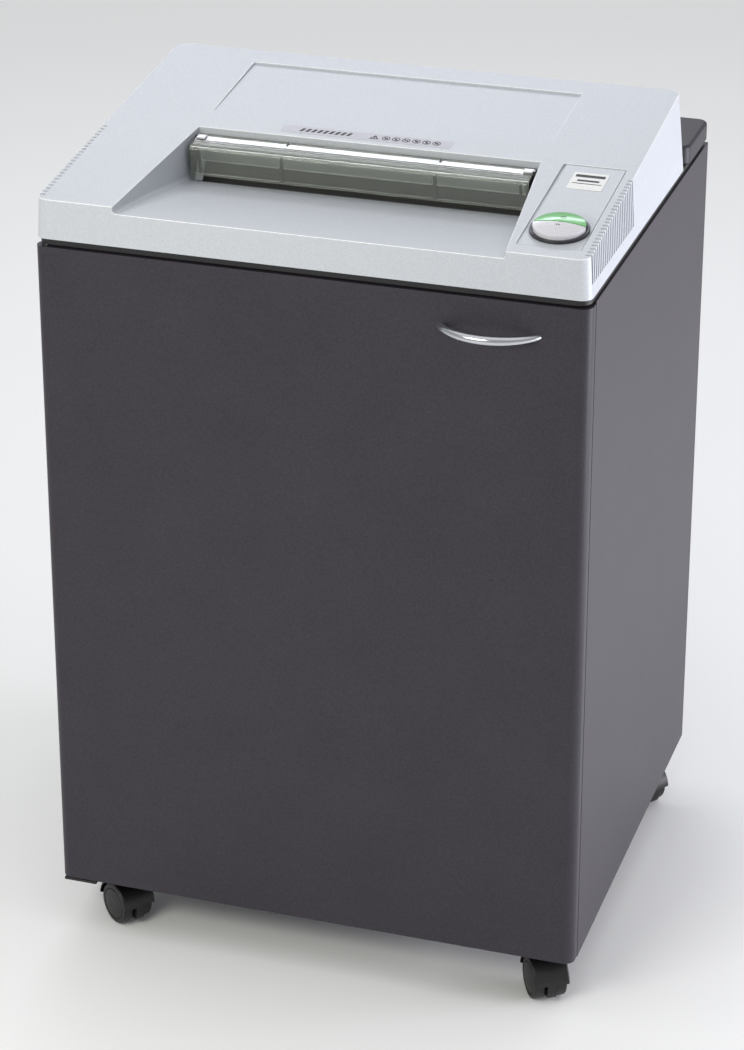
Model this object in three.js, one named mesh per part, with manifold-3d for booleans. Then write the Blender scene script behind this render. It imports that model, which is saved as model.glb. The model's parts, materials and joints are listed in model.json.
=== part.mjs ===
// A mobile cabinet paper shredder: a board cabinet on four twin-wheel casters, with a hinged door and a
// shred bin, and on top of it the cutting head under a sloping moulded cover with a feed recess.
// Millimetres. X runs to the right, Y from the door to the back, Z up from the floor.

import * as THREE from "three";
import { mergeVertices } from "three/addons/utils/BufferGeometryUtils.js";
import Module from "manifold-3d";

const wasm = await Module();
wasm.setup();

// ---------------------------------------------------------------- driving dimensions

const GAP = 0.3; // between two pieces that are fastened together
const RUN = 0.6; // radial clearance round a turning shaft, wide enough for its flat facets

// cabinet
const CABINET_WIDTH = 590;
const CABINET_DEPTH = 530;
const CABINET_HEIGHT = 758;
const BOARD = 19;
const CASTER_HEIGHT = 64;
const BACK_INSET = 3;
const RAIL_HEIGHT = 80; // the machine compartment, from the deck to the top of the cabinet

// door
const DOOR_THICKNESS = 20;
const DOOR_GAP = 1.5;
const DOOR_REVEAL = 2; // clearance above and below the door
const DOOR_CORNER = 12;
const PIVOT_RADIUS = 3;
const PIVOT_DEPTH = 14;

// handle
const HANDLE_SPAN = 104;
const HANDLE_REACH = 28;
const HANDLE_RADIUS = 4.5;
const HANDLE_FROM_EDGE = 105; // centre of the handle to the free edge of the door
const HANDLE_FROM_TOP = 37;

// black frame between cabinet and cover
const FRAME_HEIGHT = 7;
const FRAME_INSET = 2.5;
const FRAME_RAIL = 24;

// moulded cover
const COVER_DEPTH = 418; // at its foot
const COVER_TOP_DEPTH = 405; // at its crest
const COVER_FRONT = 43;
const COVER_CREST = 91;
const COVER_INSET = 1;
const COVER_WALL = 3;
const COVER_CORNER = 14;
const REAR_SHELF_HEIGHT = 20;
const REAR_SHELF_GAP = 9;

// feed recess in the cover
const FEED_BACK = 201;
const FEED_HALF_BACK = 188;
const FEED_HALF_FRONT = 207;
const TABLE_STEP = 7.5; // the table's front edge lies this far under the cover's
const TABLE_DROP = 18.5;
const TABLE_END = 168;
const SLOT_FRONT = 176;
const SLOT_WIDTH = 10;
const SLOT_HALF = 181;
const THROAT_Z = 8; // the slot's rear lip above the cover's foot

// panels sunk into the top of the cover
const PANEL_HALF = 188;
const PANEL_FRONT = 244;
const PANEL_BACK = 374;
const CONTROL_LEFT = 214;
const CONTROL_RIGHT = 280;
const CONTROL_FRONT = 18;
const CONTROL_BACK = 204;
const SINK = 1.2;

// ventilation slots
const VENTS = 24;
const VENT_FIRST = 11;
const VENT_PITCH = 7.3;
const VENT_WIDTH = 3.5;
const VENT_FOOT = 15;
const VENT_WRAP = 5; // how far a slot runs in over the top edge

// rocker switch
const SWITCH_X = 246.5;
const SWITCH_Y = 57;
const ROCKER_RADIUS = 27;
const BEZEL_WIDTH = 1.6;
const ROCKER_RISE = 8;

// labels, as thin plates
const LABEL = 0.5;

// feed flap
const FLAP_HALF = 185;
const FLAP_FRONT = 163;
const FLAP_TOP = 61;
const FLAP_FALL = 3; // from the hinge to the front edge of the flap's ledge
const FLAP_FOOT = 24;
const FLAP_LEAN = 5; // the face's foot lies this far behind its head
const FLAP_WALL = 3;
const FLAP_AXIS_Y = 193;
const FLAP_AXIS_Z = 55.5;
const FLAP_SHAFT = 2.5;

// cutting head
const CUTTER_HALF = 181; // half the clear width between the two frame plates
const PLATE = 8;
const PLATE_FRONT = 112;
const CUTTER_SPACING = 52;
const CUTTER_Z = 800;
const DISC_OVERLAP = 4; // how far the discs of one cylinder reach past those of the other
const CORE_CLEARANCE = 1.5;
const DISCS = 13;
const DISC_SIDE_GAP = 0.8;
const JOURNAL = 10;
const BEARING_RADIUS = 16;

// gears: teeth and module
const SYNC_TEETH = 16;
const DRIVE_TEETH = 32;
const DRIVE_MODULE = 3;
const LAY_TEETH = 10;
const WHEEL_TEETH = 36;
const WHEEL_MODULE = 2;
const PINION_TEETH = 12;
const GEAR_WIDTH = 13;
const BACKLASH = 0.45;
const LAY_ANGLE = 18; // degrees above the horizontal, seen from the cutter shaft
const MOTOR_ANGLE = -15;

// motor
const MOTOR_RADIUS = 47;
const MOTOR_LENGTH = 150;
const MOTOR_SHAFT = 6;

// bin
const BIN_WALL = 4;
const BIN_SIDE_GAP = 35;
const BIN_FRONT_GAP = 27;
const BIN_BACK_GAP = 35;
const BIN_HEAD_GAP = 70;
const BIN_GRIP = [120, 34, 60]; // the hand hole's width and height, and its middle below the head

// casters
const CASTER_INSET_X = 48;
const CASTER_INSET_Y = 50;
const WHEEL_RADIUS = 24;
const WHEEL_WIDTH = 14;
const WHEEL_SPACING = 26;
const WHEEL_SIDES = 16;
const TRAIL = 16;
const STEM_RADIUS = 5;
const STEM_DEPTH = 15;
const NECK_RADIUS = 9;

// ---------------------------------------------------------------- derived levels

const half = CABINET_WIDTH / 2;
const foot = CASTER_HEIGHT;
const top = foot + CABINET_HEIGHT;
const coverFoot = top + FRAME_HEIGHT;
const panelFront = DOOR_THICKNESS + DOOR_GAP;
const innerHalf = half - BOARD;
const deckTop = top - RAIL_HEIGHT;
const deckFoot = deckTop - BOARD;
const backFace = CABINET_DEPTH - BACK_INSET;
const coverHalf = half - COVER_INSET;
const slope = Math.atan2(COVER_CREST - COVER_FRONT, COVER_TOP_DEPTH);
const surfaceZ = (y) => coverFoot + COVER_FRONT + y * Math.tan(slope);
const feedHalfAt = (y) => FEED_HALF_FRONT + ((FEED_HALF_BACK - FEED_HALF_FRONT) * y) / FEED_BACK;
const nipY = SLOT_FRONT + SLOT_WIDTH / 2;
const frontCutterY = nipY - CUTTER_SPACING / 2;
const rearCutterY = nipY + CUTTER_SPACING / 2;
const discRadius = (CUTTER_SPACING + DISC_OVERLAP) / 2;
const coreRadius = CUTTER_SPACING - discRadius - CORE_CLEARANCE;

// ---------------------------------------------------------------- materials

function finish(color, roughness, metalness, extra = {}) {
  return new THREE.MeshStandardMaterial({ color, roughness, metalness, ...extra });
}
const silver = finish(0xcfd3da, 0.45, 0.1);
const anthracite = finish(0x4c4b50, 0.5, 0);
const blackPlastic = finish(0x151517, 0.5, 0);
const satinSteel = finish(0xb4b6ba, 0.3, 1);
const darkSteel = finish(0x5a5c60, 0.4, 1);
const smoked = finish(0x6f7672, 0.1, 0, { transparent: true, opacity: 0.5 });
const greenLens = finish(0x7fd487, 0.2, 0);
const whitePlastic = finish(0xe9e9ee, 0.3, 0);
const paperLabel = finish(0xc9c8d0, 0.6, 0);
const binGrey = finish(0x2f3136, 0.6, 0);
const greenBoard = finish(0x1f5a3a, 0.5, 0);
const gearNylon = finish(0xe4e0d2, 0.5, 0);

// ---------------------------------------------------------------- solid helpers

// A closed three.js geometry as a manifold-3d solid.
function solid(geometry) {
  const g = geometry.clone();
  g.deleteAttribute("normal");
  g.deleteAttribute("uv");
  const merged = mergeVertices(g, 1e-4);
  const triVerts = new Uint32Array(merged.index.array);
  const vertProperties = new Float32Array(merged.attributes.position.array);
  return new wasm.Manifold(new wasm.Mesh({ numProp: 3, vertProperties, triVerts }));
}

// A manifold-3d solid as a three.js geometry.
function geometryOf(made) {
  const mesh = made.getMesh();
  const g = new THREE.BufferGeometry();
  g.setAttribute("position", new THREE.BufferAttribute(mesh.vertProperties, 3));
  g.setIndex(new THREE.BufferAttribute(mesh.triVerts, 1));
  return g;
}

function join(first, ...others) {
  return others.reduce((made, next) => made.add(next), first);
}

function cut(first, ...others) {
  return others.reduce((made, next) => made.subtract(next), first);
}

// A box between two corners.
function block([x0, y0, z0], [x1, y1, z1]) {
  const g = new THREE.BoxGeometry(x1 - x0, y1 - y0, z1 - z0);
  return solid(g.translate((x0 + x1) / 2, (y0 + y1) / 2, (z0 + z1) / 2));
}

function outline(points) {
  return new THREE.Shape(points.map(([u, v]) => new THREE.Vector2(u, v)));
}

// A rectangle with round corners, drawn from its lowest to its highest corner.
function roundedRectangle(u0, v0, u1, v1, r) {
  const s = new THREE.Shape();
  s.moveTo(u0 + r, v0);
  s.absarc(u1 - r, v0 + r, r, -Math.PI / 2, 0);
  s.absarc(u1 - r, v1 - r, r, 0, Math.PI / 2);
  s.absarc(u0 + r, v1 - r, r, Math.PI / 2, Math.PI);
  s.absarc(u0 + r, v0 + r, r, Math.PI, 1.5 * Math.PI);
  return s;
}

// A shape in the (x, y) plane made into a prism between two levels.
function prismZ(shape, z0, z1, curveSegments = 5) {
  const g = new THREE.ExtrudeGeometry(shape, { depth: z1 - z0, bevelEnabled: false, curveSegments });
  return solid(g.translate(0, 0, z0));
}

// A shape in the (y, z) plane made into a prism along X.
function prismX(shape, x0, x1, curveSegments = 5) {
  const g = new THREE.ExtrudeGeometry(shape, { depth: x1 - x0, bevelEnabled: false, curveSegments });
  g.applyMatrix4(new THREE.Matrix4().set(0, 0, 1, x0, 1, 0, 0, 0, 0, 1, 0, 0, 0, 0, 0, 1));
  return solid(g);
}

// The outline is drawn in X and Z, and reaches back from y0 to y1.
function prismY(shape, y0, y1, curveSegments = 5) {
  const g = new THREE.ExtrudeGeometry(shape, { depth: y1 - y0, bevelEnabled: false, curveSegments });
  g.applyMatrix4(new THREE.Matrix4().set(1, 0, 0, 0, 0, 0, -1, y1, 0, 1, 0, 0, 0, 0, 0, 1));
  return solid(g);
}

// A round bar along X or Z, with a flat facet on each side of its axis.
function barX(r, x0, x1, y, z, sides = 16) {
  const g = new THREE.CylinderGeometry(r, r, x1 - x0, sides);
  return solid(g.rotateZ(-Math.PI / 2).translate((x0 + x1) / 2, y, z));
}

function barZ(r, z0, z1, x, y, sides = 16) {
  const g = new THREE.CylinderGeometry(r, r, z1 - z0, sides);
  return solid(g.rotateX(Math.PI / 2).translate(x, y, (z0 + z1) / 2));
}

// A bore's corner radius that leaves a clear circle of the radius asked for.
function boreFor(clear, sides = 16) {
  return clear / Math.cos(Math.PI / sides);
}

// A profile of (radius, x) points turned about the X axis through (y, z).
function turnedX(profile, y, z, sides, start = 0) {
  const points = profile.map(([r, x]) => new THREE.Vector2(r, x));
  const g = new THREE.LatheGeometry(points, sides, start);
  return solid(g.rotateZ(-Math.PI / 2).translate(0, y, z));
}

const shredder = new THREE.Group();

function piece(name, made, material, parent = shredder) {
  const mesh = new THREE.Mesh(geometryOf(made), material);
  mesh.name = name;
  parent.add(mesh);
  return mesh;
}

// ---------------------------------------------------------------- cabinet

const casterX = half - CASTER_INSET_X;
const casterY = [CASTER_INSET_Y, CABINET_DEPTH - CASTER_INSET_Y];
const doorAxis = [-half + DOOR_THICKNESS / 2, DOOR_THICKNESS / 2];

function sidePanel(side) {
  const x = [side * innerHalf, side * half].sort((a, b) => a - b);
  return block([x[0], panelFront, foot], [x[1], CABINET_DEPTH, top]);
}
piece("side_panel_left", sidePanel(-1), anthracite);
piece("side_panel_right", sidePanel(1), anthracite);

const boardHalf = innerHalf - GAP;
const backBoardFront = backFace - BOARD;

function floorPanel() {
  const board = block([-boardHalf, panelFront, foot], [boardHalf, backBoardFront - GAP, foot + BOARD]);
  const sockets = [];
  for (const x of [-casterX, casterX])
    for (const y of casterY)
      sockets.push(barZ(boreFor(STEM_RADIUS + RUN, 12), foot - 1, foot + STEM_DEPTH + 1, x, y, 12));
  return cut(board, ...sockets);
}
piece("floor_panel", floorPanel(), anthracite);

const INLET_X = 190;
const INLET_Z = top - RAIL_HEIGHT / 2;
const INLET_HALF_WIDTH = 15;
const INLET_HALF_HEIGHT = 12;

function backPanel() {
  const board = block([-boardHalf, backBoardFront, foot], [boardHalf, backFace, top - GAP]);
  const w = INLET_HALF_WIDTH + GAP;
  const h = INLET_HALF_HEIGHT + GAP;
  return cut(
    board,
    block([INLET_X - w, backBoardFront - 1, INLET_Z - h], [INLET_X + w, backFace + 1, INLET_Z + h]),
  );
}
piece("back_panel", backPanel(), anthracite);

// The deck carries the cutting head, and has an opening for the shreds to fall through.
const CHUTE_HALF = 172;
const chuteFront = frontCutterY - discRadius;
const chuteBack = rearCutterY + discRadius;

function deckPanel() {
  return cut(
    block([-boardHalf, panelFront, deckFoot], [boardHalf, backBoardFront - GAP, deckTop]),
    block([-CHUTE_HALF, chuteFront, deckFoot - 1], [CHUTE_HALF, chuteBack, deckTop + 1]),
  );
}
piece("deck_panel", deckPanel(), anthracite);

const RAIL_SETBACK = 3.5; // room behind the door for the heads of the handle's screws
const railFront = panelFront + RAIL_SETBACK;
piece(
  "front_rail",
  block([-boardHalf, railFront, deckTop + GAP], [boardHalf, railFront + BOARD, top - GAP]),
  anthracite,
);

// ---------------------------------------------------------------- frame between cabinet and cover

const frameFoot = top + GAP;
const frameTop = coverFoot - GAP;
const frameHalf = half - FRAME_INSET;

function baseFrame() {
  const ring = cut(
    prismZ(
      roundedRectangle(-frameHalf, FRAME_INSET, frameHalf, CABINET_DEPTH - FRAME_INSET, COVER_CORNER),
      frameFoot,
      frameTop,
    ),
    block(
      [-frameHalf + FRAME_RAIL, FRAME_INSET + FRAME_RAIL, frameFoot - 1],
      [frameHalf - FRAME_RAIL, CABINET_DEPTH - FRAME_INSET - FRAME_RAIL, frameTop + 1],
    ),
  );
  return cut(ring, barZ(boreFor(PIVOT_RADIUS + GAP, 12), frameFoot - 1, frameTop + 1, ...doorAxis, 12));
}
piece("base_frame", baseFrame(), blackPlastic);

// ---------------------------------------------------------------- door and its pivots

const doorFoot = foot + DOOR_REVEAL;
const doorTop = top - DOOR_REVEAL;
const handleX = half - HANDLE_FROM_EDGE;
const handleZ = top - HANDLE_FROM_TOP;

// The hinge edge is a full half round about the pivot, so that it turns clear of the side panel.
function doorPanel() {
  const s = new THREE.Shape();
  const r = DOOR_THICKNESS / 2;
  s.moveTo(doorAxis[0], 0);
  s.lineTo(half - DOOR_CORNER, 0);
  s.absarc(half - DOOR_CORNER, DOOR_CORNER, DOOR_CORNER, -Math.PI / 2, 0);
  s.lineTo(half, DOOR_THICKNESS);
  s.lineTo(doorAxis[0], DOOR_THICKNESS);
  s.absarc(doorAxis[0], doorAxis[1], r, Math.PI / 2, 1.5 * Math.PI);
  const hole = (z0, z1) => barZ(boreFor(PIVOT_RADIUS + RUN, 12), z0, z1, ...doorAxis, 12);
  return cut(
    prismZ(s, doorFoot, doorTop, 8),
    hole(doorFoot - 1, doorFoot + PIVOT_DEPTH + 1),
    hole(doorTop - PIVOT_DEPTH - 1, doorTop + 1),
  );
}

piece("door_panel", doorPanel(), anthracite);

// The handle is a round bar bowed outwards, trimmed flat where it meets the door.
function doorHandle() {
  const bowRadius = ((HANDLE_SPAN / 2) ** 2 + HANDLE_REACH ** 2) / (2 * HANDLE_REACH);
  const spread = Math.asin(HANDLE_SPAN / 2 / bowRadius) + 0.06;
  const points = [];
  const steps = 10;
  for (let i = 0; i <= steps; i++) {
    const a = -spread + (2 * spread * i) / steps;
    const y = -HANDLE_REACH + HANDLE_RADIUS + bowRadius * (1 - Math.cos(a));
    points.push(new THREE.Vector3(handleX + bowRadius * Math.sin(a), y, handleZ));
  }
  const section = new THREE.Shape();
  section.absarc(0, 0, HANDLE_RADIUS, 0, 2 * Math.PI);
  const bow = new THREE.ExtrudeGeometry(section, {
    steps,
    curveSegments: 5,
    bevelEnabled: false,
    extrudePath: new THREE.CatmullRomCurve3(points),
  });
  const reach = HANDLE_SPAN;
  const door = block([handleX - reach, -GAP, handleZ - reach], [handleX + reach, reach, handleZ + reach]);
  return cut(solid(bow), door);
}
piece("door_handle", doorHandle(), satinSteel);

piece(
  "top_pivot_pin",
  barZ(PIVOT_RADIUS, doorTop - PIVOT_DEPTH, frameTop - GAP, ...doorAxis, 12),
  satinSteel,
);

const BRACKET = 3;
function bottomPivotBracket() {
  const plate = block(
    [-half + 2, 2, foot - GAP - BRACKET],
    [-half + 2 * DOOR_THICKNESS, CASTER_INSET_Y - NECK_RADIUS - 1.5, foot - GAP],
  );
  return join(plate, barZ(PIVOT_RADIUS, foot - GAP - 1, doorFoot + PIVOT_DEPTH, ...doorAxis, 12));
}
piece("bottom_pivot_bracket", bottomPivotBracket(), satinSteel);

const CATCH_Z = foot + 0.55 * CABINET_HEIGHT;
const CATCH_HEIGHT = 46;
const CATCH_WIDTH = 16;
piece(
  "door_catch",
  block(
    [boardHalf - CATCH_WIDTH, railFront, CATCH_Z],
    [boardHalf, railFront + 1.6 * CATCH_WIDTH, CATCH_Z + CATCH_HEIGHT],
  ),
  blackPlastic,
);

// ---------------------------------------------------------------- shred bin

// Five plastic sheets stand edge to edge, with a hand hole in the front one.
const binHalf = innerHalf - BIN_SIDE_GAP;
const binFront = panelFront + BIN_FRONT_GAP;
const binBack = backBoardFront - BIN_BACK_GAP;
const binFoot = foot + BOARD + GAP;
const binHead = deckFoot - BIN_HEAD_GAP;
const binStand = binFoot + BIN_WALL + GAP;
function binSheet(x, y, z = [binStand, binHead]) {
  return block([x[0], y[0], z[0]], [x[1], y[1], z[1]]);
}
function binFrontSheet() {
  const inside = binHalf - BIN_WALL - GAP;
  const [width, height, drop] = BIN_GRIP;
  const middle = binHead - drop;
  const grip = [
    [-width / 2, middle - height / 4],
    [-width / 2 + height / 4, middle - height / 2],
    [width / 2 - height / 4, middle - height / 2],
    [width / 2, middle - height / 4],
    [width / 2, middle + height / 4],
    [width / 2 - height / 4, middle + height / 2],
    [-width / 2 + height / 4, middle + height / 2],
    [-width / 2, middle + height / 4],
  ];
  return cut(
    binSheet([-inside, inside], [binFront, binFront + BIN_WALL]),
    prismY(outline(grip), binFront - 1, binFront + BIN_WALL + 1),
  );
}
piece("bin_floor", binSheet([-binHalf, binHalf], [binFront, binBack], [binFoot, binFoot + BIN_WALL]), binGrey);
piece("bin_left", binSheet([-binHalf, -binHalf + BIN_WALL], [binFront, binBack]), binGrey);
piece("bin_right", binSheet([binHalf - BIN_WALL, binHalf], [binFront, binBack]), binGrey);
piece("bin_front", binFrontSheet(), binGrey);
piece(
  "bin_back",
  binSheet([-binHalf + BIN_WALL + GAP, binHalf - BIN_WALL - GAP], [binBack - BIN_WALL, binBack]),
  binGrey,
);

// ---------------------------------------------------------------- moulded cover

// The feed table's height above the cover's foot: a shallow arc that falls towards the slot.
function tableZ(y) {
  const t = Math.min(1, Math.max(0, y / TABLE_END));
  return COVER_FRONT - TABLE_STEP - TABLE_DROP * t * (0.35 + 0.65 * t);
}

function tablePoints(lower) {
  const points = [[-10, tableZ(0) - lower]];
  const steps = 7;
  for (let i = 0; i <= steps; i++) {
    const y = (TABLE_END * i) / steps;
    points.push([y, tableZ(y) - lower]);
  }
  return points;
}

// The cover's outer form, or its inner one a wall's thickness inside.
function coverForm(inset, below) {
  const rise = inset / Math.cos(slope);
  const plan = roundedRectangle(
    -coverHalf + inset,
    inset,
    coverHalf - inset,
    COVER_DEPTH - inset,
    COVER_CORNER - inset,
  );
  const tall = prismZ(plan, coverFoot - below, coverFoot + COVER_CREST + 10);
  const profile = outline([
    [-5, coverFoot - below - 1],
    [COVER_DEPTH - inset, coverFoot - below - 1],
    [COVER_TOP_DEPTH - inset, coverFoot + COVER_CREST - rise - inset * Math.tan(slope)],
    [-5, surfaceZ(-5) - rise],
  ]);
  return tall.intersect(prismX(profile, -half, half));
}

function feedPlan(extra) {
  const back = FEED_BACK + extra;
  return outline([
    [-feedHalfAt(-20) - extra, -20],
    [feedHalfAt(-20) + extra, -20],
    [feedHalfAt(back) + extra, back],
    [-feedHalfAt(back) - extra, back],
  ]);
}

// The hollow of the feed recess, or the solid round it when it is let down and out by a wall.
function feedVolume(extra) {
  const slotBack = SLOT_FRONT + SLOT_WIDTH;
  const lift = coverFoot;
  const profile = [
    ...tablePoints(extra).map(([y, z]) => [y, z + lift]),
    [SLOT_FRONT, lift + 14 - extra],
    [slotBack, lift + THROAT_Z - extra],
    [FEED_BACK + extra, lift + 30 - extra],
    [FEED_BACK + extra, lift + 150],
    [-10, lift + 150],
  ];
  return prismZ(feedPlan(extra), lift - 5, lift + 140).intersect(prismX(outline(profile), -half, half));
}

// A shallow pocket in the sloping top.
function sunkPanel(x0, x1, y0, y1, depth) {
  const length = (y1 - y0) / Math.cos(slope);
  const g = new THREE.BoxGeometry(x1 - x0, length, 2 * depth);
  g.rotateX(slope).translate((x0 + x1) / 2, (y0 + y1) / 2, surfaceZ((y0 + y1) / 2));
  return solid(g);
}

function ventSlots() {
  const slots = [];
  for (let i = 0; i < VENTS; i++) {
    const y = VENT_FIRST + i * VENT_PITCH;
    for (const side of [-1, 1]) {
      const x = [side * (coverHalf - VENT_WRAP), side * (coverHalf + 5)].sort((a, b) => a - b);
      slots.push(
        block(
          [x[0], y - VENT_WIDTH / 2, coverFoot + VENT_FOOT],
          [x[1], y + VENT_WIDTH / 2, coverFoot + COVER_CREST + 10],
        ),
      );
    }
  }
  return slots;
}

const switchZ = surfaceZ(SWITCH_Y);
const ROCKER_HOLE = 22;
const flapAxisZ = coverFoot + FLAP_AXIS_Z;

function topCover() {
  const outer = coverForm(0, 0);
  const shell = cut(outer, coverForm(COVER_WALL, 1));
  const tray = feedVolume(COVER_WALL).intersect(outer);
  const switchHole = new THREE.CylinderGeometry(ROCKER_HOLE, ROCKER_HOLE, 20, 24);
  switchHole.rotateX(Math.PI / 2 + slope).translate(SWITCH_X, SWITCH_Y, switchZ);
  return cut(
    join(shell, tray),
    feedVolume(0),
    block(
      [-SLOT_HALF, SLOT_FRONT, coverFoot - 5],
      [SLOT_HALF, SLOT_FRONT + SLOT_WIDTH, coverFoot + 20],
    ),
    sunkPanel(-PANEL_HALF, PANEL_HALF, PANEL_FRONT, PANEL_BACK, SINK),
    sunkPanel(CONTROL_LEFT, CONTROL_RIGHT, CONTROL_FRONT, CONTROL_BACK, SINK),
    solid(switchHole),
    barX(boreFor(FLAP_SHAFT + RUN, 12), -FEED_HALF_FRONT, FEED_HALF_FRONT, FLAP_AXIS_Y, flapAxisZ, 12),
    ...ventSlots(),
  );
}
piece("top_cover", topCover(), silver);

// The board behind the cover, over the back of the cabinet.
piece(
  "rear_shelf",
  prismZ(
    roundedRectangle(-half, COVER_DEPTH + REAR_SHELF_GAP, half, CABINET_DEPTH, DOOR_CORNER),
    coverFoot,
    coverFoot + REAR_SHELF_HEIGHT,
  ),
  anthracite,
);

// Labels lie on the cover's slope.
function slopeLabel(x0, x1, y0, y1, below) {
  const length = (y1 - y0) / Math.cos(slope);
  const g = new THREE.BoxGeometry(x1 - x0, length, LABEL);
  const lift = GAP + LABEL / 2 - below;
  g.translate(0, 0, lift).rotateX(slope);
  return solid(g.translate((x0 + x1) / 2, (y0 + y1) / 2, surfaceZ((y0 + y1) / 2)));
}
piece("caution_strip", slopeLabel(-100, 88, FEED_BACK + 4, PANEL_FRONT - 20, 0), paperLabel);
piece("rating_label", slopeLabel(229, 265, 150, 188, SINK), paperLabel);

// ---------------------------------------------------------------- rocker switch on the slope

const switchGroup = new THREE.Group();
switchGroup.position.set(SWITCH_X, SWITCH_Y, switchZ);
switchGroup.rotation.x = slope;
shredder.add(switchGroup);

const ROUND = 28;
const bezelFoot = GAP - SINK;
const BEZEL_HEIGHT = 3;
piece(
  "switch_bezel",
  cut(
    barZ(ROCKER_RADIUS + BEZEL_WIDTH + RUN, bezelFoot, bezelFoot + BEZEL_HEIGHT, 0, 0, ROUND),
    barZ(boreFor(ROCKER_RADIUS + RUN, ROUND), -10, 10, 0, 0, ROUND),
  ),
  blackPlastic,
  switchGroup,
);

const ROCKER_SKIRT = 1.5; // height of the rocker's underside, clear of the cover when it tips
const LENS_SEAT = 4.5;
function halfDisc(r, side, z0, z1, gap) {
  const rear = block([-50, gap, z0], [50, 50, z1]);
  const front = block([-50, -50, z0], [50, -gap, z1]);
  return barZ(r, z0, z1, 0, 0, ROUND).intersect(side > 0 ? rear : front);
}
piece(
  "rocker_button",
  join(
    barZ(ROCKER_RADIUS, ROCKER_SKIRT, LENS_SEAT, 0, 0, ROUND),
    halfDisc(ROCKER_RADIUS, -1, LENS_SEAT - 1, ROCKER_RISE, 1),
    barZ(ROCKER_HOLE - 5, -6, ROCKER_SKIRT + 1, 0, 0, 16),
  ),
  whitePlastic,
  switchGroup,
);
piece("rocker_lens", halfDisc(ROCKER_RADIUS, 1, LENS_SEAT + GAP, ROCKER_RISE, 1), greenLens, switchGroup);

// ---------------------------------------------------------------- feed flap

// A clear guard: a ledge hinged at the back, a face hanging at its front, two end webs and a barrel.
function feedFlap() {
  const z = (level) => coverFoot + level;
  const back = FLAP_AXIS_Y;
  const edge = FLAP_TOP - FLAP_FALL;
  const angle = outline([
    [FLAP_FRONT + FLAP_LEAN, z(FLAP_FOOT)],
    [FLAP_FRONT + FLAP_LEAN + FLAP_WALL, z(FLAP_FOOT)],
    [FLAP_FRONT + FLAP_WALL, z(edge - FLAP_WALL)],
    [back, z(FLAP_TOP - FLAP_WALL)],
    [back, z(FLAP_TOP)],
    [FLAP_FRONT, z(edge)],
  ]);
  const web = outline([
    [FLAP_FRONT + FLAP_LEAN + 1, z(FLAP_FOOT)],
    [FLAP_FRONT + FLAP_LEAN + 8, z(FLAP_FOOT)],
    [back, z(FLAP_AXIS_Z)],
    [back, z(FLAP_TOP - 1)],
    [FLAP_FRONT + 1, z(edge - 1)],
  ]);
  const webs = [-FLAP_HALF, FLAP_HALF - FLAP_WALL].map((x) => prismX(web, x, x + FLAP_WALL));
  const barrel = barX(FLAP_TOP - FLAP_AXIS_Z, -FLAP_HALF, FLAP_HALF, FLAP_AXIS_Y, flapAxisZ, 12);
  const bore = barX(boreFor(FLAP_SHAFT + GAP, 12), -half, half, FLAP_AXIS_Y, flapAxisZ, 12);
  return cut(join(prismX(angle, -FLAP_HALF, FLAP_HALF), ...webs, barrel), bore);
}
piece("feed_flap", feedFlap(), smoked);
const shaftHalf = feedHalfAt(FLAP_AXIS_Y) + COVER_WALL;
piece(
  "flap_shaft",
  barX(FLAP_SHAFT, -shaftHalf, shaftHalf, FLAP_AXIS_Y, flapAxisZ, 12),
  satinSteel,
);

// ---------------------------------------------------------------- gears

const PRESSURE = (25 * Math.PI) / 180;
const ADDENDUM = 0.8;
const DEDENDUM = 1.1;

// The outline of an involute gear, with a tooth centred on the angle given.
function gearShape(teeth, module, toothAngle) {
  const pitch = (teeth * module) / 2;
  const base = pitch * Math.cos(PRESSURE);
  const tip = pitch + ADDENDUM * module;
  const root = pitch - DEDENDUM * module;
  const involute = (r) => {
    const a = Math.acos(Math.min(1, base / r));
    return Math.tan(a) - a;
  };
  const halfTooth = Math.PI / 2 / teeth - BACKLASH / 2 / pitch;
  const flank = (r) => halfTooth + involute(pitch) - involute(Math.max(r, base));
  const points = [];
  for (let i = 0; i < teeth; i++) {
    const centre = toothAngle + (2 * Math.PI * i) / teeth;
    const radii = [root, pitch, tip];
    for (const r of radii) points.push([r, centre - flank(r)]);
    for (const r of radii.reverse()) points.push([r, centre + flank(r)]);
  }
  return outline(points.map(([r, a]) => [r * Math.cos(a), r * Math.sin(a)]));
}

// A gear along X, with angles measured in the (y, z) plane.
function gear(teeth, module, toothAngle, x0, width, [y, z], bore) {
  const body = prismX(gearShape(teeth, module, toothAngle), x0, x0 + width).translate([0, y, z]);
  return bore ? cut(body, barX(boreFor(bore), x0 - 1, x0 + width + 1, y, z)) : body;
}

// The tooth angle of a gear at angle `towards` from its mate, so that a gap faces the mate's tooth.
function meshed(mateAngle, mateTeeth, towards, teeth) {
  const mateStep = (2 * Math.PI) / mateTeeth;
  const offset = (towards - mateAngle) / mateStep;
  const phase = offset - Math.round(offset);
  return towards + Math.PI + ((phase + 0.5) * 2 * Math.PI) / teeth;
}

// ---------------------------------------------------------------- cutting head

const frontAxis = [frontCutterY, CUTTER_Z];
const rearAxis = [rearCutterY, CUTTER_Z];
const layAngle = (LAY_ANGLE * Math.PI) / 180;
const motorAngle = (MOTOR_ANGLE * Math.PI) / 180;
const layReach = ((DRIVE_TEETH + LAY_TEETH) * DRIVE_MODULE) / 2;
const layAxis = [rearAxis[0] + layReach * Math.cos(layAngle), rearAxis[1] + layReach * Math.sin(layAngle)];
const motorReach = ((WHEEL_TEETH + PINION_TEETH) * WHEEL_MODULE) / 2;
const motorAxis = [
  layAxis[0] + motorReach * Math.cos(motorAngle),
  layAxis[1] + motorReach * Math.sin(motorAngle),
];

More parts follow.
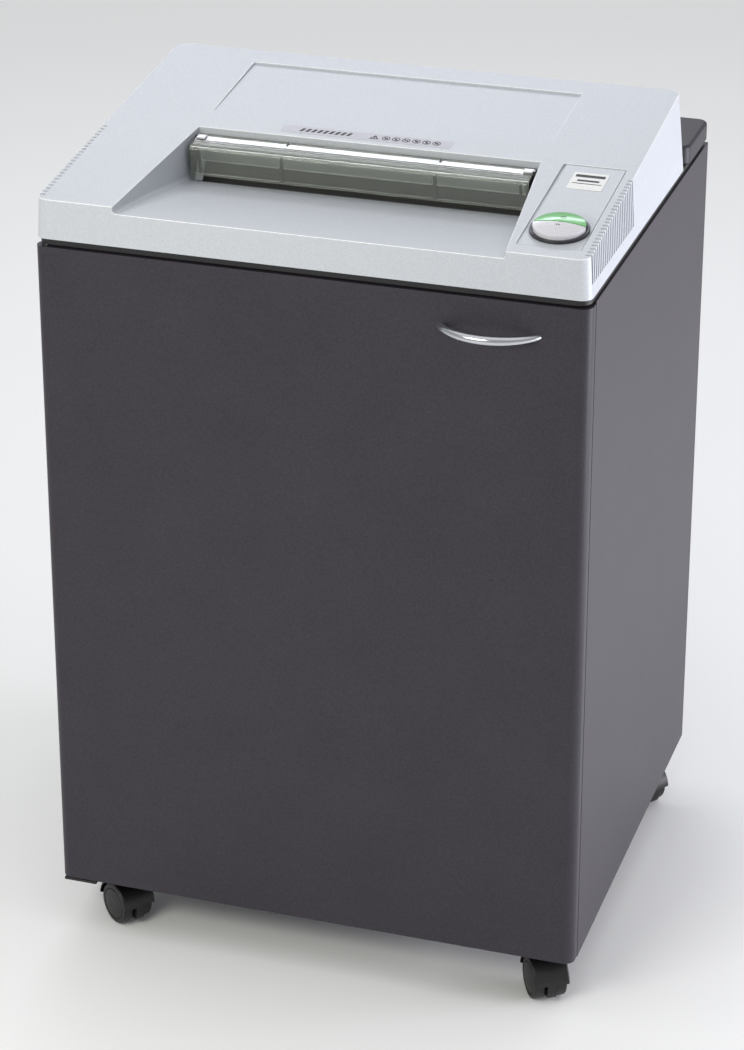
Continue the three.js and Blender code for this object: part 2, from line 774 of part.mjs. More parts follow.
const plateInner = CUTTER_HALF + GAP;
const plateOuter = plateInner + PLATE;
const GEAR_OFFSET = 7;
const gearStart = plateOuter + GEAR_OFFSET;
const gearEnd = gearStart + GEAR_WIDTH;
const discPitch = (2 * CUTTER_HALF - 8) / (DISCS + 0.5);
const discWidth = discPitch / 2 - DISC_SIDE_GAP;

// A cutting cylinder: discs on a core, with a journal at each end that reaches to x0 and x1.
function cutter([y, z], shift, x0, x1) {
  const sides = 12;
  const firstX = -((DISCS - 1) / 2) * discPitch + shift;
  const core = CUTTER_HALF - 2;
  const profile = [
    [0, x0],
    [JOURNAL, x0],
    [JOURNAL, -core],
    [coreRadius, -core],
  ];
  for (let i = 0; i < DISCS; i++) {
    const x = firstX + i * discPitch;
    profile.push([coreRadius, x - discWidth / 2], [discRadius, x - discWidth / 2]);
    profile.push([discRadius, x + discWidth / 2], [coreRadius, x + discWidth / 2]);
  }
  profile.push([coreRadius, core], [JOURNAL, core], [JOURNAL, x1], [0, x1]);
  return turnedX(profile, y, z, sides);
}
const shift = discPitch / 4;
piece("cutter_front", cutter(frontAxis, -shift, -gearEnd, plateOuter), darkSteel);
piece("cutter_rear", cutter(rearAxis, shift, -gearEnd, gearEnd), darkSteel);

// Comb fingers lie between the discs and strip the shreds from the core.
function stripper([y, z], side, shiftX) {
  const near = y + side * (coreRadius + 1.5);
  const far = y + side * (discRadius + 3);
  const back = y + side * (discRadius + 9);
  const level = [z - 16, z - 8];
  const between = (a, b, x0, x1) =>
    block([x0, Math.min(a, b), level[0]], [x1, Math.max(a, b), level[1]]);
  const parts = [];
  const firstGap = -((DISCS - 2) / 2) * discPitch + shiftX;
  const fingerHalf = (discPitch - discWidth) / 2 - DISC_SIDE_GAP;
  for (let i = 0; i < DISCS - 1; i++) {
    const x = firstGap + i * discPitch;
    parts.push(between(near, far + side, x - fingerHalf, x + fingerHalf));
  }
  return join(between(far, back, -CUTTER_HALF + GAP, CUTTER_HALF - GAP), ...parts);
}
piece("stripper_front", stripper(frontAxis, -1, -shift), satinSteel);
piece("stripper_rear", stripper(rearAxis, 1, shift), satinSteel);

const plateFoot = deckTop + GAP;
const plateTop = CUTTER_Z + 31;
const plateRear = rearCutterY + 43;

function plateHoles(axes) {
  const long = (r, axis) => barX(boreFor(r, 20), -half, half, ...axis, 20);
  return axes.map((axis) => long(BEARING_RADIUS, axis));
}

function framePlate(profile, x0, holes) {
  return cut(prismX(outline(profile), x0, x0 + PLATE), ...holes);
}
const seats = plateHoles([frontAxis, rearAxis]);
piece(
  "cutter_plate_left",
  framePlate(
    [
      [PLATE_FRONT, plateFoot],
      [plateRear, plateFoot],
      [plateRear, plateTop],
      [PLATE_FRONT, plateTop],
    ],
    -plateOuter,
    seats,
  ),
  darkSteel,
);

// The right plate also carries the lay gear's axle and the motor, so it reaches further back.
const motorPlateRear = motorAxis[0] + MOTOR_RADIUS + 6;
const motorPlateTop = layAxis[1] + 42;
const AXLE_RADIUS = 6;
piece(
  "cutter_plate_right",
  framePlate(
    [
      [PLATE_FRONT, plateFoot],
      [motorPlateRear, plateFoot],
      [motorPlateRear, motorPlateTop],
      [FEED_BACK + COVER_WALL + 8, motorPlateTop],
      [FEED_BACK + COVER_WALL + 8, plateTop],
      [PLATE_FRONT, plateTop],
    ],
    plateInner,
    [
      ...seats,
      barX(boreFor(AXLE_RADIUS + GAP, 16), 0, half, ...layAxis),
      barX(boreFor(MOTOR_SHAFT + 4, 16), 0, half, ...motorAxis),
    ],
  ),
  darkSteel,
);

for (const [name, axis, side] of [
  ["bearing_front_left", frontAxis, -1],
  ["bearing_front_right", frontAxis, 1],
  ["bearing_rear_left", rearAxis, -1],
  ["bearing_rear_right", rearAxis, 1],
]) {
  const x = [side * plateInner, side * plateOuter].sort((a, b) => a - b);
  const race = barX(BEARING_RADIUS - GAP, x[0], x[1], ...axis, 20);
  piece(name, cut(race, barX(boreFor(JOURNAL + RUN), -half, half, ...axis)), satinSteel);
}

const TIE_RADIUS = 7;
const TIE_Z = CUTTER_Z - 45;
for (const [name, y] of [
  ["tie_bar_front", frontCutterY - discRadius - TIE_RADIUS - 1],
  ["tie_bar_rear", rearCutterY + discRadius + TIE_RADIUS + 1],
])
  piece(name, barX(TIE_RADIUS, -CUTTER_HALF, CUTTER_HALF, y, TIE_Z, 10), satinSteel);

// A funnel that leads the paper from the cover's slot into the nip of the cutters.
const GUIDE_WALL = 3;
const GUIDE_CLEARANCE = 0.6;
// the guide's foot stands just above the discs, at its own outer faces
const guideReach = CUTTER_SPACING / 2 - SLOT_WIDTH / 2 - GUIDE_WALL - 1;
const guideFoot = CUTTER_Z + Math.sqrt(discRadius ** 2 - guideReach ** 2) + GUIDE_CLEARANCE;
const guideTop = coverFoot + THROAT_Z - COVER_WALL - GAP;
function throatGuide() {
  const y = [SLOT_FRONT - 1, SLOT_FRONT + SLOT_WIDTH + 1];
  const x = SLOT_HALF - GUIDE_WALL;
  return cut(
    block([-SLOT_HALF, y[0] - GUIDE_WALL, guideFoot], [SLOT_HALF, y[1] + GUIDE_WALL, guideTop]),
    block([-x, y[0], guideFoot - 1], [x, y[1], guideTop + 1]),
  );
}
piece("throat_guide", throatGuide(), satinSteel);

// ---------------------------------------------------------------- gear train

const driveTooth = 0;
piece(
  "sync_gear_rear",
  gear(SYNC_TEETH, CUTTER_SPACING / SYNC_TEETH, 0, -gearEnd, GEAR_WIDTH, rearAxis, JOURNAL + GAP),
  satinSteel,
);
piece(
  "sync_gear_front",
  gear(
    SYNC_TEETH,
    CUTTER_SPACING / SYNC_TEETH,
    meshed(0, SYNC_TEETH, Math.PI, SYNC_TEETH),
    -gearEnd,
    GEAR_WIDTH,
    frontAxis,
    JOURNAL + GAP,
  ),
  satinSteel,
);
piece(
  "drive_gear",
  gear(DRIVE_TEETH, DRIVE_MODULE, driveTooth, gearStart, GEAR_WIDTH, rearAxis, JOURNAL + GAP),
  satinSteel,
);

// The lay gear is one moulding: a small pinion that turns the drive gear, and a wheel that the motor turns.
const layTooth = meshed(driveTooth, DRIVE_TEETH, layAngle, LAY_TEETH);
const wheelStart = gearEnd + 4;
const wheelEnd = wheelStart + GEAR_WIDTH;
function layGear() {
  const small = gear(LAY_TEETH, DRIVE_MODULE, layTooth, gearStart, wheelStart - gearStart + 1, layAxis);
  const wheel = gear(WHEEL_TEETH, WHEEL_MODULE, 0, wheelStart, GEAR_WIDTH, layAxis);
  const bore = barX(boreFor(AXLE_RADIUS + RUN), gearStart - 1, wheelEnd + 1, ...layAxis);
  return cut(join(small, wheel), bore);
}
piece("lay_gear", layGear(), gearNylon);
piece("lay_axle", barX(AXLE_RADIUS, plateInner + 1, wheelEnd + 4, ...layAxis), satinSteel);

const pinionTooth = meshed(0, WHEEL_TEETH, motorAngle, PINION_TEETH);
const MOTOR_SHAFT_INSIDE = 14;
piece(
  "motor_shaft",
  join(
    barX(MOTOR_SHAFT, plateInner - MOTOR_SHAFT_INSIDE, wheelStart + 1, ...motorAxis),
    gear(PINION_TEETH, WHEEL_MODULE, pinionTooth, wheelStart, GEAR_WIDTH, motorAxis),
  ),
  satinSteel,
);

// ---------------------------------------------------------------- motor and electrics

const motorEnd = plateInner - GAP;
function motorHousing() {
  const start = motorEnd - MOTOR_LENGTH;
  const profile = [
    [0, start],
    [0.6 * MOTOR_RADIUS, start],
    [0.9 * MOTOR_RADIUS, start + 12],
    [MOTOR_RADIUS, start + 14],
    [MOTOR_RADIUS, motorEnd - 14],
    [0.9 * MOTOR_RADIUS, motorEnd - 12],
    [0.9 * MOTOR_RADIUS, motorEnd],
    [0, motorEnd],
  ];
  const bore = barX(boreFor(MOTOR_SHAFT + RUN), motorEnd - MOTOR_SHAFT_INSIDE - 2, motorEnd + 1, ...motorAxis);
  return cut(turnedX(profile, ...motorAxis, 20), bore);
}
piece("motor_housing", motorHousing(), darkSteel);

const electricsZ = deckTop + GAP;
const electricsX = -210;
const electricsY = rearCutterY + 90;
function controlBoard() {
  const x = electricsX;
  const y = electricsY + 45;
  const z = electricsZ;
  return join(
    block([x, y, z + 8], [x + 130, y + 80, z + 9.6]),
    block([x + 12, y + 12, z + 9], [x + 42, y + 38, z + 32]),
    block([x + 60, y + 20, z + 9], [x + 82, y + 36, z + 24]),
    block([x + 94, y + 14, z + 9], [x + 122, y + 66, z + 20]),
    ...[6, 124].flatMap((dx) => [6, 74].map((dy) => barZ(3, z, z + 9, x + dx, y + dy, 6))),
  );
}
piece("control_board", controlBoard(), greenBoard);

function mainsInlet() {
  const depth = BOARD + 6;
  const front = backFace - depth;
  const x = [INLET_X - INLET_HALF_WIDTH, INLET_X + INLET_HALF_WIDTH];
  const z = [INLET_Z - INLET_HALF_HEIGHT, INLET_Z + INLET_HALF_HEIGHT];
  const flange = backFace + GAP;
  const body = join(
    block([x[0], front, z[0]], [x[1], flange + 1, z[1]]),
    block([x[0] - 9, flange, z[0] - 3], [x[1] + 9, CABINET_DEPTH - 0.2, z[1] + 3]),
  );
  const socket = block([x[0] + 3, flange - 17, z[0] + 3], [x[1] - 3, CABINET_DEPTH + 1, z[1] - 3]);
  const pins = [-7, 0, 7].map((dx, i) => {
    const up = i === 1 ? 3 : -2;
    return block(
      [INLET_X + dx - 1, flange - 18, INLET_Z + up - 2],
      [INLET_X + dx + 1, flange - 4, INLET_Z + up + 2],
    );
  });
  return join(cut(body, socket), ...pins);
}
piece("mains_inlet", mainsInlet(), blackPlastic);

// ---------------------------------------------------------------- casters

const axleZ = WHEEL_RADIUS * Math.cos(Math.PI / WHEEL_SIDES);
const AXLE = 4;
const WEB_HALF = (WHEEL_SPACING - WHEEL_WIDTH) / 2 - RUN;
const HOOD_GAP = 1.6;
const HOOD_WALL = 2.4;

// In a caster's own frame the stem stands on the origin, and the wheels trail along +Y with their axle on X.
function casterHood() {
  const axle = [TRAIL, axleZ];
  const inside = WHEEL_RADIUS + HOOD_GAP;
  const fullHalf = WHEEL_SPACING / 2 + WHEEL_WIDTH / 2;
  const fender = cut(
    barX(inside + HOOD_WALL, -fullHalf, fullHalf, ...axle, 20),
    barX(inside, -fullHalf - 1, fullHalf + 1, ...axle, 20),
    block([-50, -100, -50], [50, 100, axleZ + 3]),
  );
  const web = cut(
    barX(inside + 1, -WEB_HALF, WEB_HALF, ...axle, 20),
    block([-50, -100, -50], [50, 100, axleZ * 0.45]),
  );
  const neckTop = CASTER_HEIGHT - 2;
  const neck = cut(
    barZ(NECK_RADIUS, axleZ + 4, neckTop, 0, 0, 12),
    barX(inside, -fullHalf, fullHalf, ...axle, 20),
  );
  return join(
    fender,
    web,
    neck,
    barZ(STEM_RADIUS, neckTop - 1, CASTER_HEIGHT + STEM_DEPTH, 0, 0, 12),
    barX(AXLE, -WHEEL_SPACING / 2 - 4, WHEEL_SPACING / 2 + 4, ...axle, 12),
  );
}

// A wheel with a domed outer face and a blind bore; its flats, not its corners, meet the floor.
function casterWheel(side) {
  const w = WHEEL_WIDTH;
  const r = WHEEL_RADIUS;
  const bore = boreFor(AXLE + RUN, WHEEL_SIDES);
  const profile = [
    [0, w - 3],
    [bore, w - 3],
    [bore, 0],
    [r, 0],
    [r, w * 0.6],
    [r * 0.85, w],
    [0, w],
  ];
  const made = turnedX(profile, 0, 0, WHEEL_SIDES, Math.PI / WHEEL_SIDES);
  const placed = side > 0 ? made : made.mirror([1, 0, 0]);
  return placed.translate([side * (WHEEL_SPACING / 2 - w / 2), TRAIL, axleZ]);
}

// Each caster's rest angle turns its trail away from +Y, in degrees.
const casters = [
  { name: "front_left", x: -1, y: 0, turn: -126 },
  { name: "front_right", x: 1, y: 0, turn: -147 },
  { name: "rear_left", x: -1, y: 1, turn: 28 },
  { name: "rear_right", x: 1, y: 1, turn: -127 },
];
for (const { name, x, y, turn } of casters) {
  const caster = new THREE.Group();
  caster.position.set(x * casterX, casterY[y], 0);
  caster.rotation.z = (turn * Math.PI) / 180;
  shredder.add(caster);
  piece(`caster_${name}_hood`, casterHood(), blackPlastic, caster);
  piece(`caster_${name}_wheel_inner`, casterWheel(-1), blackPlastic, caster);
  piece(`caster_${name}_wheel_outer`, casterWheel(1), blackPlastic, caster);
}

// The origin is on the floor, under the middle of the whole machine with its handle.
shredder.position.y = -(CABINET_DEPTH - HANDLE_REACH) / 2;

export default shredder;
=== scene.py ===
# %% [markdown]
# # A cabinet paper shredder
# The machine is a dark board cabinet on four twin-wheel casters, with a full-height door, and a
# silver plastic cover on top that slopes up towards the back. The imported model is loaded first. It
# is the fixed frame: its nodes give every place and size, and the finer pieces made here are fitted
# round it.

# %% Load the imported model
import json
import math

import bmesh
import bpy
from mathutils import Matrix, Vector


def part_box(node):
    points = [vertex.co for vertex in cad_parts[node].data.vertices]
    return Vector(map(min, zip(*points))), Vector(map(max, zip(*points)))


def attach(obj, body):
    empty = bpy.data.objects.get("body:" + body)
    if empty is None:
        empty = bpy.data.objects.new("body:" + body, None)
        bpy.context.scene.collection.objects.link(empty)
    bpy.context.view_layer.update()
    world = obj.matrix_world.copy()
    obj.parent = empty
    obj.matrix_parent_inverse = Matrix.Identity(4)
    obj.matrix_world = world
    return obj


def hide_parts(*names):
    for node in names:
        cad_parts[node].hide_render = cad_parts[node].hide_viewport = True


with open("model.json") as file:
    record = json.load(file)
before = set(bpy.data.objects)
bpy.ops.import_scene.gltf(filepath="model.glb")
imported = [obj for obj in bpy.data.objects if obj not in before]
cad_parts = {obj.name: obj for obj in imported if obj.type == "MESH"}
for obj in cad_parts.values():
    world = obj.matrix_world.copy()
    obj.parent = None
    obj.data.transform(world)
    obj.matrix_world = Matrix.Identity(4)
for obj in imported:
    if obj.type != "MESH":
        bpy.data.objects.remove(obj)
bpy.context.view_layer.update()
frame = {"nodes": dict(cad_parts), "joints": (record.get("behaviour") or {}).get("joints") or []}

# %% [markdown]
# ## Places and sizes
# Every place is written as a maker would measure it on the machine, in millimetres: across from the
# middle, back from the face of the door, and up from the floor. One function turns that into
# Blender's metres.

# %% Measure the frame
MM = 0.001
door_low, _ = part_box("door_panel")
cover_low, cover_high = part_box("top_cover")
door_face = door_low.y
cover_foot = cover_low.z / MM
cover_half = cover_high.x / MM
cover_depth = (cover_high.y - cover_low.y) / MM


def at(x, y, z):
    """The point x across, y back from the door's face and z above the floor, all in millimetres."""
    return Vector((x * MM, door_face + y * MM, z * MM))


def spot(x, y, z):
    """A point near the origin in millimetres, for a piece that is made there and then put in its place."""
    return Vector((x * MM, y * MM, z * MM))


def depth_of(place):
    """How far back from the door's face a point lies, in millimetres."""
    return (place.y - door_face) / MM


def reach(node):
    """A node's lowest and highest corner in the same millimetres."""
    low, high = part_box(node)
    shift = Vector((0, door_face, 0))
    return (low - shift) / MM, (high - shift) / MM


print("cover foot", round(cover_foot, 1), "half width", round(cover_half, 1), "depth", round(cover_depth, 1))

# %% [markdown]
# ## Working as by hand
# These helpers press the buttons that a modeller would: add a primitive where it is wanted, pick
# edges or faces by their place, round them, cut one piece with another. An operator acts on all
# that is selected, so each one starts by deselecting everything.

# %% Helpers for selecting and shaping
def deselect_everything():
    if bpy.context.mode != "OBJECT":
        bpy.ops.object.mode_set(mode="OBJECT")
    bpy.ops.object.select_all(action="DESELECT")


def activate(piece):
    deselect_everything()
    piece.select_set(True)
    bpy.context.view_layer.objects.active = piece


def edit(piece):
    activate(piece)
    bpy.ops.object.mode_set(mode="EDIT")


def close_edit():
    bpy.ops.object.mode_set(mode="OBJECT")


def point_outwards():
    """In edit mode, turns every face of the mesh outwards."""
    bpy.ops.mesh.select_all(action="SELECT")
    bpy.ops.mesh.normals_make_consistent(inside=False)


def settle(piece):
    """Moves a piece's place, turn and scale into its mesh."""
    activate(piece)
    bpy.ops.object.transform_apply(location=True, rotation=True, scale=True)
    return piece


def block(name, low, high):
    """A box between its lowest and highest corner."""
    deselect_everything()
    bpy.ops.mesh.primitive_cube_add(size=1, location=(low + high) / 2)
    piece = bpy.context.object
    piece.name = name
    piece.scale = high - low
    return settle(piece)


def bar(name, radius, start, end, sides=32):
    """A round bar between two points, with its radius in millimetres."""
    deselect_everything()
    length = end - start
    bpy.ops.mesh.primitive_cylinder_add(
        vertices=sides, radius=radius * MM, depth=length.length, location=(start + end) / 2
    )
    piece = bpy.context.object
    piece.name = name
    piece.rotation_euler = length.to_track_quat("Z", "Y").to_euler()
    return settle(piece)


def extruded(name, corners, draw):
    """A filled circle takes the corners of a flat section and is drawn along a line."""
    deselect_everything()
    bpy.ops.mesh.primitive_circle_add(vertices=len(corners), radius=1, fill_type="NGON")
    piece = bpy.context.object
    piece.name = name
    for vertex, corner in zip(piece.data.vertices, corners):
        vertex.co = corner
    edit(piece)
    bpy.ops.mesh.select_all(action="SELECT")
    bpy.ops.mesh.extrude_region_move(TRANSFORM_OT_translate={"value": draw})
    point_outwards()
    close_edit()
    return piece


def pick(piece, kind, test):
    """Selects the verts, edges or faces that pass a test, in edit mode, and says how many."""
    bpy.ops.mesh.select_mode(type=kind)
    bpy.ops.mesh.select_all(action="DESELECT")
    mesh = bmesh.from_edit_mesh(piece.data)
    items = {"VERT": mesh.verts, "EDGE": mesh.edges, "FACE": mesh.faces}[kind]
    found = [item for item in items if test(item)]
    for item in found:
        item.select = True
    mesh.select_flush_mode()
    bmesh.update_edit_mesh(piece.data)
    return len(found)


def middle(edge):
    return (edge.verts[0].co + edge.verts[1].co) / 2


def runs_along(edge, axis):
    way = edge.verts[1].co - edge.verts[0].co
    return abs(way[axis]) > 0.95 * way.length


def upright(edge):
    return runs_along(edge, 2)


def leaning_upright(edge):
    """An upright edge that may lean, as on a wall with draft."""
    return abs((edge.verts[1].co - edge.verts[0].co).normalized().z) > 0.9


def sharp(edge):
    """An edge whose two faces meet at more than 1 radian, about 57 degrees."""
    return edge.calc_face_angle(0) > 1.0


def round_edges(piece, width, segments, test, highlight_slot=-1):
    """Bevels the edges that pass a test, by millimetres. The new faces may take a second material slot,
    which carries a painted highlight.
    """
    edit(piece)
    found = pick(piece, "EDGE", test)
    bpy.ops.mesh.bevel(
        offset=width * MM, segments=segments, affect="EDGES", clamp_overlap=True, material=highlight_slot
    )
    close_edit()
    return found


def apply_modifier(piece, modifier):
    activate(piece)
    bpy.ops.object.modifier_apply(modifier=modifier.name)


def combine(piece, tool, operation):
    """Cuts, joins or intersects a piece with a tool, which is used up."""
    modifier = piece.modifiers.new("Boolean", "BOOLEAN")
    modifier.operation = operation
    modifier.solver = "EXACT"
    modifier.object = tool
    apply_modifier(piece, modifier)
    bpy.data.objects.remove(tool)
    return piece


def cut(piece, *tools):
    for tool in tools:
        combine(piece, tool, "DIFFERENCE")
    return piece


def weld(piece, *others):
    for other in others:
        combine(piece, other, "UNION")
    return piece


def gather(name, pieces):
    """Joins separate pieces into one object without a boolean."""
    deselect_everything()
    for piece in pieces:
        piece.select_set(True)
    bpy.context.view_layer.objects.active = pieces[0]
    bpy.ops.object.join()
    pieces[0].name = name
    return pieces[0]


MIRROR_ACROSS = Matrix.Diagonal((-1, 1, 1, 1))


def copy_of(piece, name, matrix):
    """A copy with its own mesh, moved to its place."""
    twin = bpy.data.objects.new(name, piece.data.copy())
    bpy.context.scene.collection.objects.link(twin)
    twin.data.transform(matrix)
    return twin


def smooth(piece, angle=32):
    """Shades a piece smooth, except where it turns by more than the angle. Flat faces stay flat."""
    edit(piece)
    bpy.ops.mesh.select_all(action="SELECT")
    bpy.ops.mesh.remove_doubles(threshold=2e-6)
    point_outwards()
    close_edit()
    bpy.ops.object.shade_smooth_by_angle(angle=math.radians(angle))
    even = piece.modifiers.new("Even normals", "WEIGHTED_NORMAL")
    even.keep_sharp = True
    apply_modifier(piece, even)


def finish_piece(piece, body, material, nodes=(), angle=32, edge_material=None):
    """Smooths a piece, gives it its material, and fastens it to its body."""
    smooth(piece, angle)
    on_edge = [face.material_index == 1 for face in piece.data.polygons]
    piece.data.materials.clear()
    piece.data.materials.append(material)
    # The edge material is the painted highlight along the bevelled rims.
    if edge_material:
        piece.data.materials.append(edge_material)
        for face, glossy_painted_rim in zip(piece.data.polygons, on_edge):
            face.material_index = int(glossy_painted_rim)
        print("polished faces", sum(on_edge))
    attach(piece, body)
    if nodes:
        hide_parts(*nodes)
    print(piece.name, len(piece.data.polygons), "faces")
    return piece


# %% [markdown]
# ## Materials
# Each finish starts from what the real one is and how it was made. Colours are written as sRGB hex
# values and turned to linear in one place, and each pattern's size is a real one in millimetres.
# Patterns read Object coordinates, which are metres, so a grain of g millimetres needs a scale of
# 1000 / g.

# %% Helpers for materials
def linear(hex_colour):
    value = hex_colour.lstrip("#")
    out = []
    for i in (0, 2, 4):
        c = int(value[i : i + 2], 16) / 255
        out.append(c / 12.92 if c <= 0.04045 else ((c + 0.055) / 1.055) ** 2.4)
    return (*out, 1.0)


def add_node(tree, kind, settings=None, links=None):
    """Adds a node, sets its properties and unlinked sockets, and links its other sockets."""
    node = tree.nodes.new(kind)
    for key, value in (settings or {}).items():
        if isinstance(key, int) or key in node.inputs:
            node.inputs[key].default_value = value
        else:
            setattr(node, key, value)
    for key, source in (links or {}).items():
        tree.links.new(source, node.inputs[key])
    return node


def start_material(name):
    material = bpy.data.materials.new(name)
    material.use_nodes = True
    material.node_tree.nodes.clear()
    coords = add_node(material.node_tree, "ShaderNodeTexCoord")
    return material, material.node_tree, coords.outputs["Object"]


def close_material(tree, shader):
    add_node(tree, "ShaderNodeOutputMaterial", links={"Surface": shader.outputs["BSDF"]})


def per_mm(size):
    """The scale that makes a pattern's features this many millimetres across."""
    return 1000 / size


# %% [markdown]
# Melamine-faced chipboard: paper soaked in resin and pressed on the board against a textured plate.
# It is dull, with a fine pebbled grain and a slight cloudiness. The real grain is about half a
# millimetre, so it is drawn at 1.5 mm to show at all.

# %% Melamine board
def melamine(name, dark, light, rough):
    material, tree, place = start_material(name)
    grain = add_node(
        tree,
        "ShaderNodeTexNoise",
        {"Scale": per_mm(1.5), "Detail": 3.0, "Roughness": 0.6},
        {"Vector": place},
    )
    cloud = add_node(tree, "ShaderNodeTexNoise", {"Scale": per_mm(70), "Detail": 2.0}, {"Vector": place})
    both = add_node(
        tree,
        "ShaderNodeMath",
        {"operation": "MULTIPLY_ADD", 1: 0.2},
        {0: cloud.outputs["Fac"], 2: grain.outputs["Fac"]},
    )
    colour = add_node(tree, "ShaderNodeValToRGB", links={"Fac": both.outputs[0]})
    colour.color_ramp.elements[0].position = 0.42
    colour.color_ramp.elements[0].color = linear(dark)
    colour.color_ramp.elements[1].position = 0.92
    colour.color_ramp.elements[1].color = linear(light)
    dull = add_node(
        tree,
        "ShaderNodeMapRange",
        {"From Min": 0.3, "From Max": 0.7, "To Min": rough - 0.05, "To Max": rough + 0.05},
        {"Value": grain.outputs["Fac"]},
    )
    pebble = add_node(
        tree, "ShaderNodeBump", {"Strength": 0.25, "Distance": 0.0001}, {"Height": grain.outputs["Fac"]}
    )
    shader = add_node(
        tree,
        "ShaderNodeBsdfPrincipled",
        {"IOR": 1.5, "Specular IOR Level": 0.32},
        {
            "Base Color": colour.outputs["Color"],
            "Roughness": dull.outputs["Result"],
            "Normal": pebble.outputs["Normal"],
        },
    )
    close_material(tree, shader)
    return material


anthracite_melamine = melamine("anthracite_melamine", "#2d2a31", "#403c44", 0.42)
print("made", anthracite_melamine.name)

# %% [markdown]
# Silver ABS: injection-moulded plastic with fine metal flakes in it. It is pale and a little cool,
# with a soft sheen and a faint sparkle. A flake is a tenth of a millimetre, so the sparkle is drawn
# at 0.9 mm to show, and the spark-eroded mould leaves a very low grain. One recipe serves every
# opaque plastic here: cells give the fleck and noise gives the grain. A plain colour would do, but
# it looks like paint up close.

# %% Moulded plastics
# base and flake are the two colours of the fleck, sparkle and grain_mm their sizes in millimetres.
def moulded_plastic(name, base, flake, sparkle, grain_mm, bump, rough, coat=0.0):
    material, tree, place = start_material(name)
    cells = add_node(tree, "ShaderNodeTexVoronoi", {"Scale": per_mm(sparkle)}, {"Vector": place})
    split = add_node(tree, "ShaderNodeSeparateColor", links={"Color": cells.outputs["Color"]})
    colour = add_node(tree, "ShaderNodeValToRGB", links={"Fac": split.outputs["Red"]})
    colour.color_ramp.elements[0].color = linear(base)
    colour.color_ramp.elements[1].color = linear(flake)
    grain = add_node(
        tree, "ShaderNodeTexNoise", {"Scale": per_mm(grain_mm), "Detail": 3.0}, {"Vector": place}
    )
    dull = add_node(
        tree,
        "ShaderNodeMapRange",
        {"From Min": 0.3, "From Max": 0.7, "To Min": rough - 0.04, "To Max": rough + 0.04},
        {"Value": grain.outputs["Fac"]},
    )
    texture = add_node(
        tree, "ShaderNodeBump", {"Strength": bump, "Distance": 0.0001}, {"Height": grain.outputs["Fac"]}
    )
    shader = add_node(
        tree,
        "ShaderNodeBsdfPrincipled",
        {"IOR": 1.5, "Coat Weight": coat},
        {
            "Base Color": colour.outputs["Color"],
            "Roughness": dull.outputs["Result"],
            "Normal": texture.outputs["Normal"],
        },
    )
    close_material(tree, shader)
    return material


# The cover's plastic, moulded against a fine grain: a soft sheen.
silver_abs = moulded_plastic("silver_abs", "#bdc1c8", "#c9cdd4", 0.9, 1.2, 0.05, 0.36)
# The same plastic on the rims, a little glossier, with a pale colour that is a painted highlight: a thin
# bright line.
painted_highlight_abs = moulded_plastic("silver_abs_painted_highlight_edge", "#f0f1f4", "#fbfbfd", 0.9, 1.2, 0.02, 0.2, coat=0.4)
# Caster nylon, moulded and filled with soot: deep black, with dull wide highlights.
black_nylon = moulded_plastic("black_nylon", "#060607", "#0c0c0e", 1.0, 1.2, 0.3, 0.45)
# Moulded small parts: black, but greyer and duller than nylon.
black_abs = moulded_plastic("black_abs", "#0d0d0f", "#141417", 1.0, 1.0, 0.2, 0.5)
# The switch's rim, from a polished mould: smooth blue-black with a clear highlight.
dark_rim = moulded_plastic("dark_rim_abs", "#26262e", "#2e2e37", 1.2, 1.5, 0.1, 0.3)
# The rocker's front half, lacquered: milky and glossy.
pearl_white = moulded_plastic("pearl_white_abs", "#cfced4", "#dad9df", 0.8, 2.0, 0.05, 0.25, coat=0.3)
# The bin, from a coarse-grained mould: leathery and dull.
bin_plastic = moulded_plastic("grained_polypropylene", "#24262b", "#2d2f35", 1.2, 0.9, 0.5, 0.55)
# Uncoloured machined nylon: waxy cream.
gear_nylon = moulded_plastic("natural_nylon", "#d8d2c2", "#e2ddce", 2.0, 2.0, 0.05, 0.45)
# Lacquered glass fibre board: smooth green, with the weave just showing, drawn coarser than it is.
solder_mask = moulded_plastic("green_circuit_board", "#174a30", "#1d5a3a", 3.0, 2.0, 0.05, 0.3)
# Paint baked on pressed steel, as on the door's lower bracket: smooth, hard and nearly black.
black_enamel = moulded_plastic("black_enamelled_steel", "#0e0e10", "#131316", 1.5, 2.5, 0.08, 0.3)
print("made the moulded plastics")

# %% [markdown]
# Smoked acrylic: a clear plastic with a little grey-green dye. Both faces shine, and what lies
# behind it shows through darker. The dye is the shader's own colour.

# %% Clear plastics
def clear_plastic(name, dye, clear, rough):
    material, tree, place = start_material(name)
    haze = add_node(tree, "ShaderNodeTexNoise", {"Scale": per_mm(9), "Detail": 2.0}, {"Vector": place})
    scuffs = add_node(
        tree,
        "ShaderNodeMapRange",
        {"From Min": 0.35, "From Max": 0.75, "To Min": rough, "To Max": rough + 0.07},
        {"Value": haze.outputs["Fac"]},
    )
    shader = add_node(
        tree,
        "ShaderNodeBsdfPrincipled",
        {"Base Color": linear(dye), "IOR": 1.49, "Transmission Weight": clear},
        {"Roughness": scuffs.outputs["Result"]},
    )
    close_material(tree, shader)
    return material


# The feed guard: clear and shiny, a little grey-green in depth.
smoked_acrylic = clear_plastic("smoked_acrylic", "#cfd3cb", 0.88, 0.03)
# The rocker's lens, dyed and milky: a soft bright green that only half lets light through.
green_acrylic = clear_plastic("green_acrylic", "#8fdd92", 0.25, 0.12)
print("made the clear plastics")

# %% [markdown]
# Metals: the handle is satin chrome, nearly a mirror but a little blurred along its length. The
# parts of the cutting head are ground or turned steel with fine marks, and the cutting cylinders
# are oiled dark steel. Marks could be drawn with an image, but noise stretched along one axis has
# no seam. They are drawn coarser than the real tenth of a millimetre.

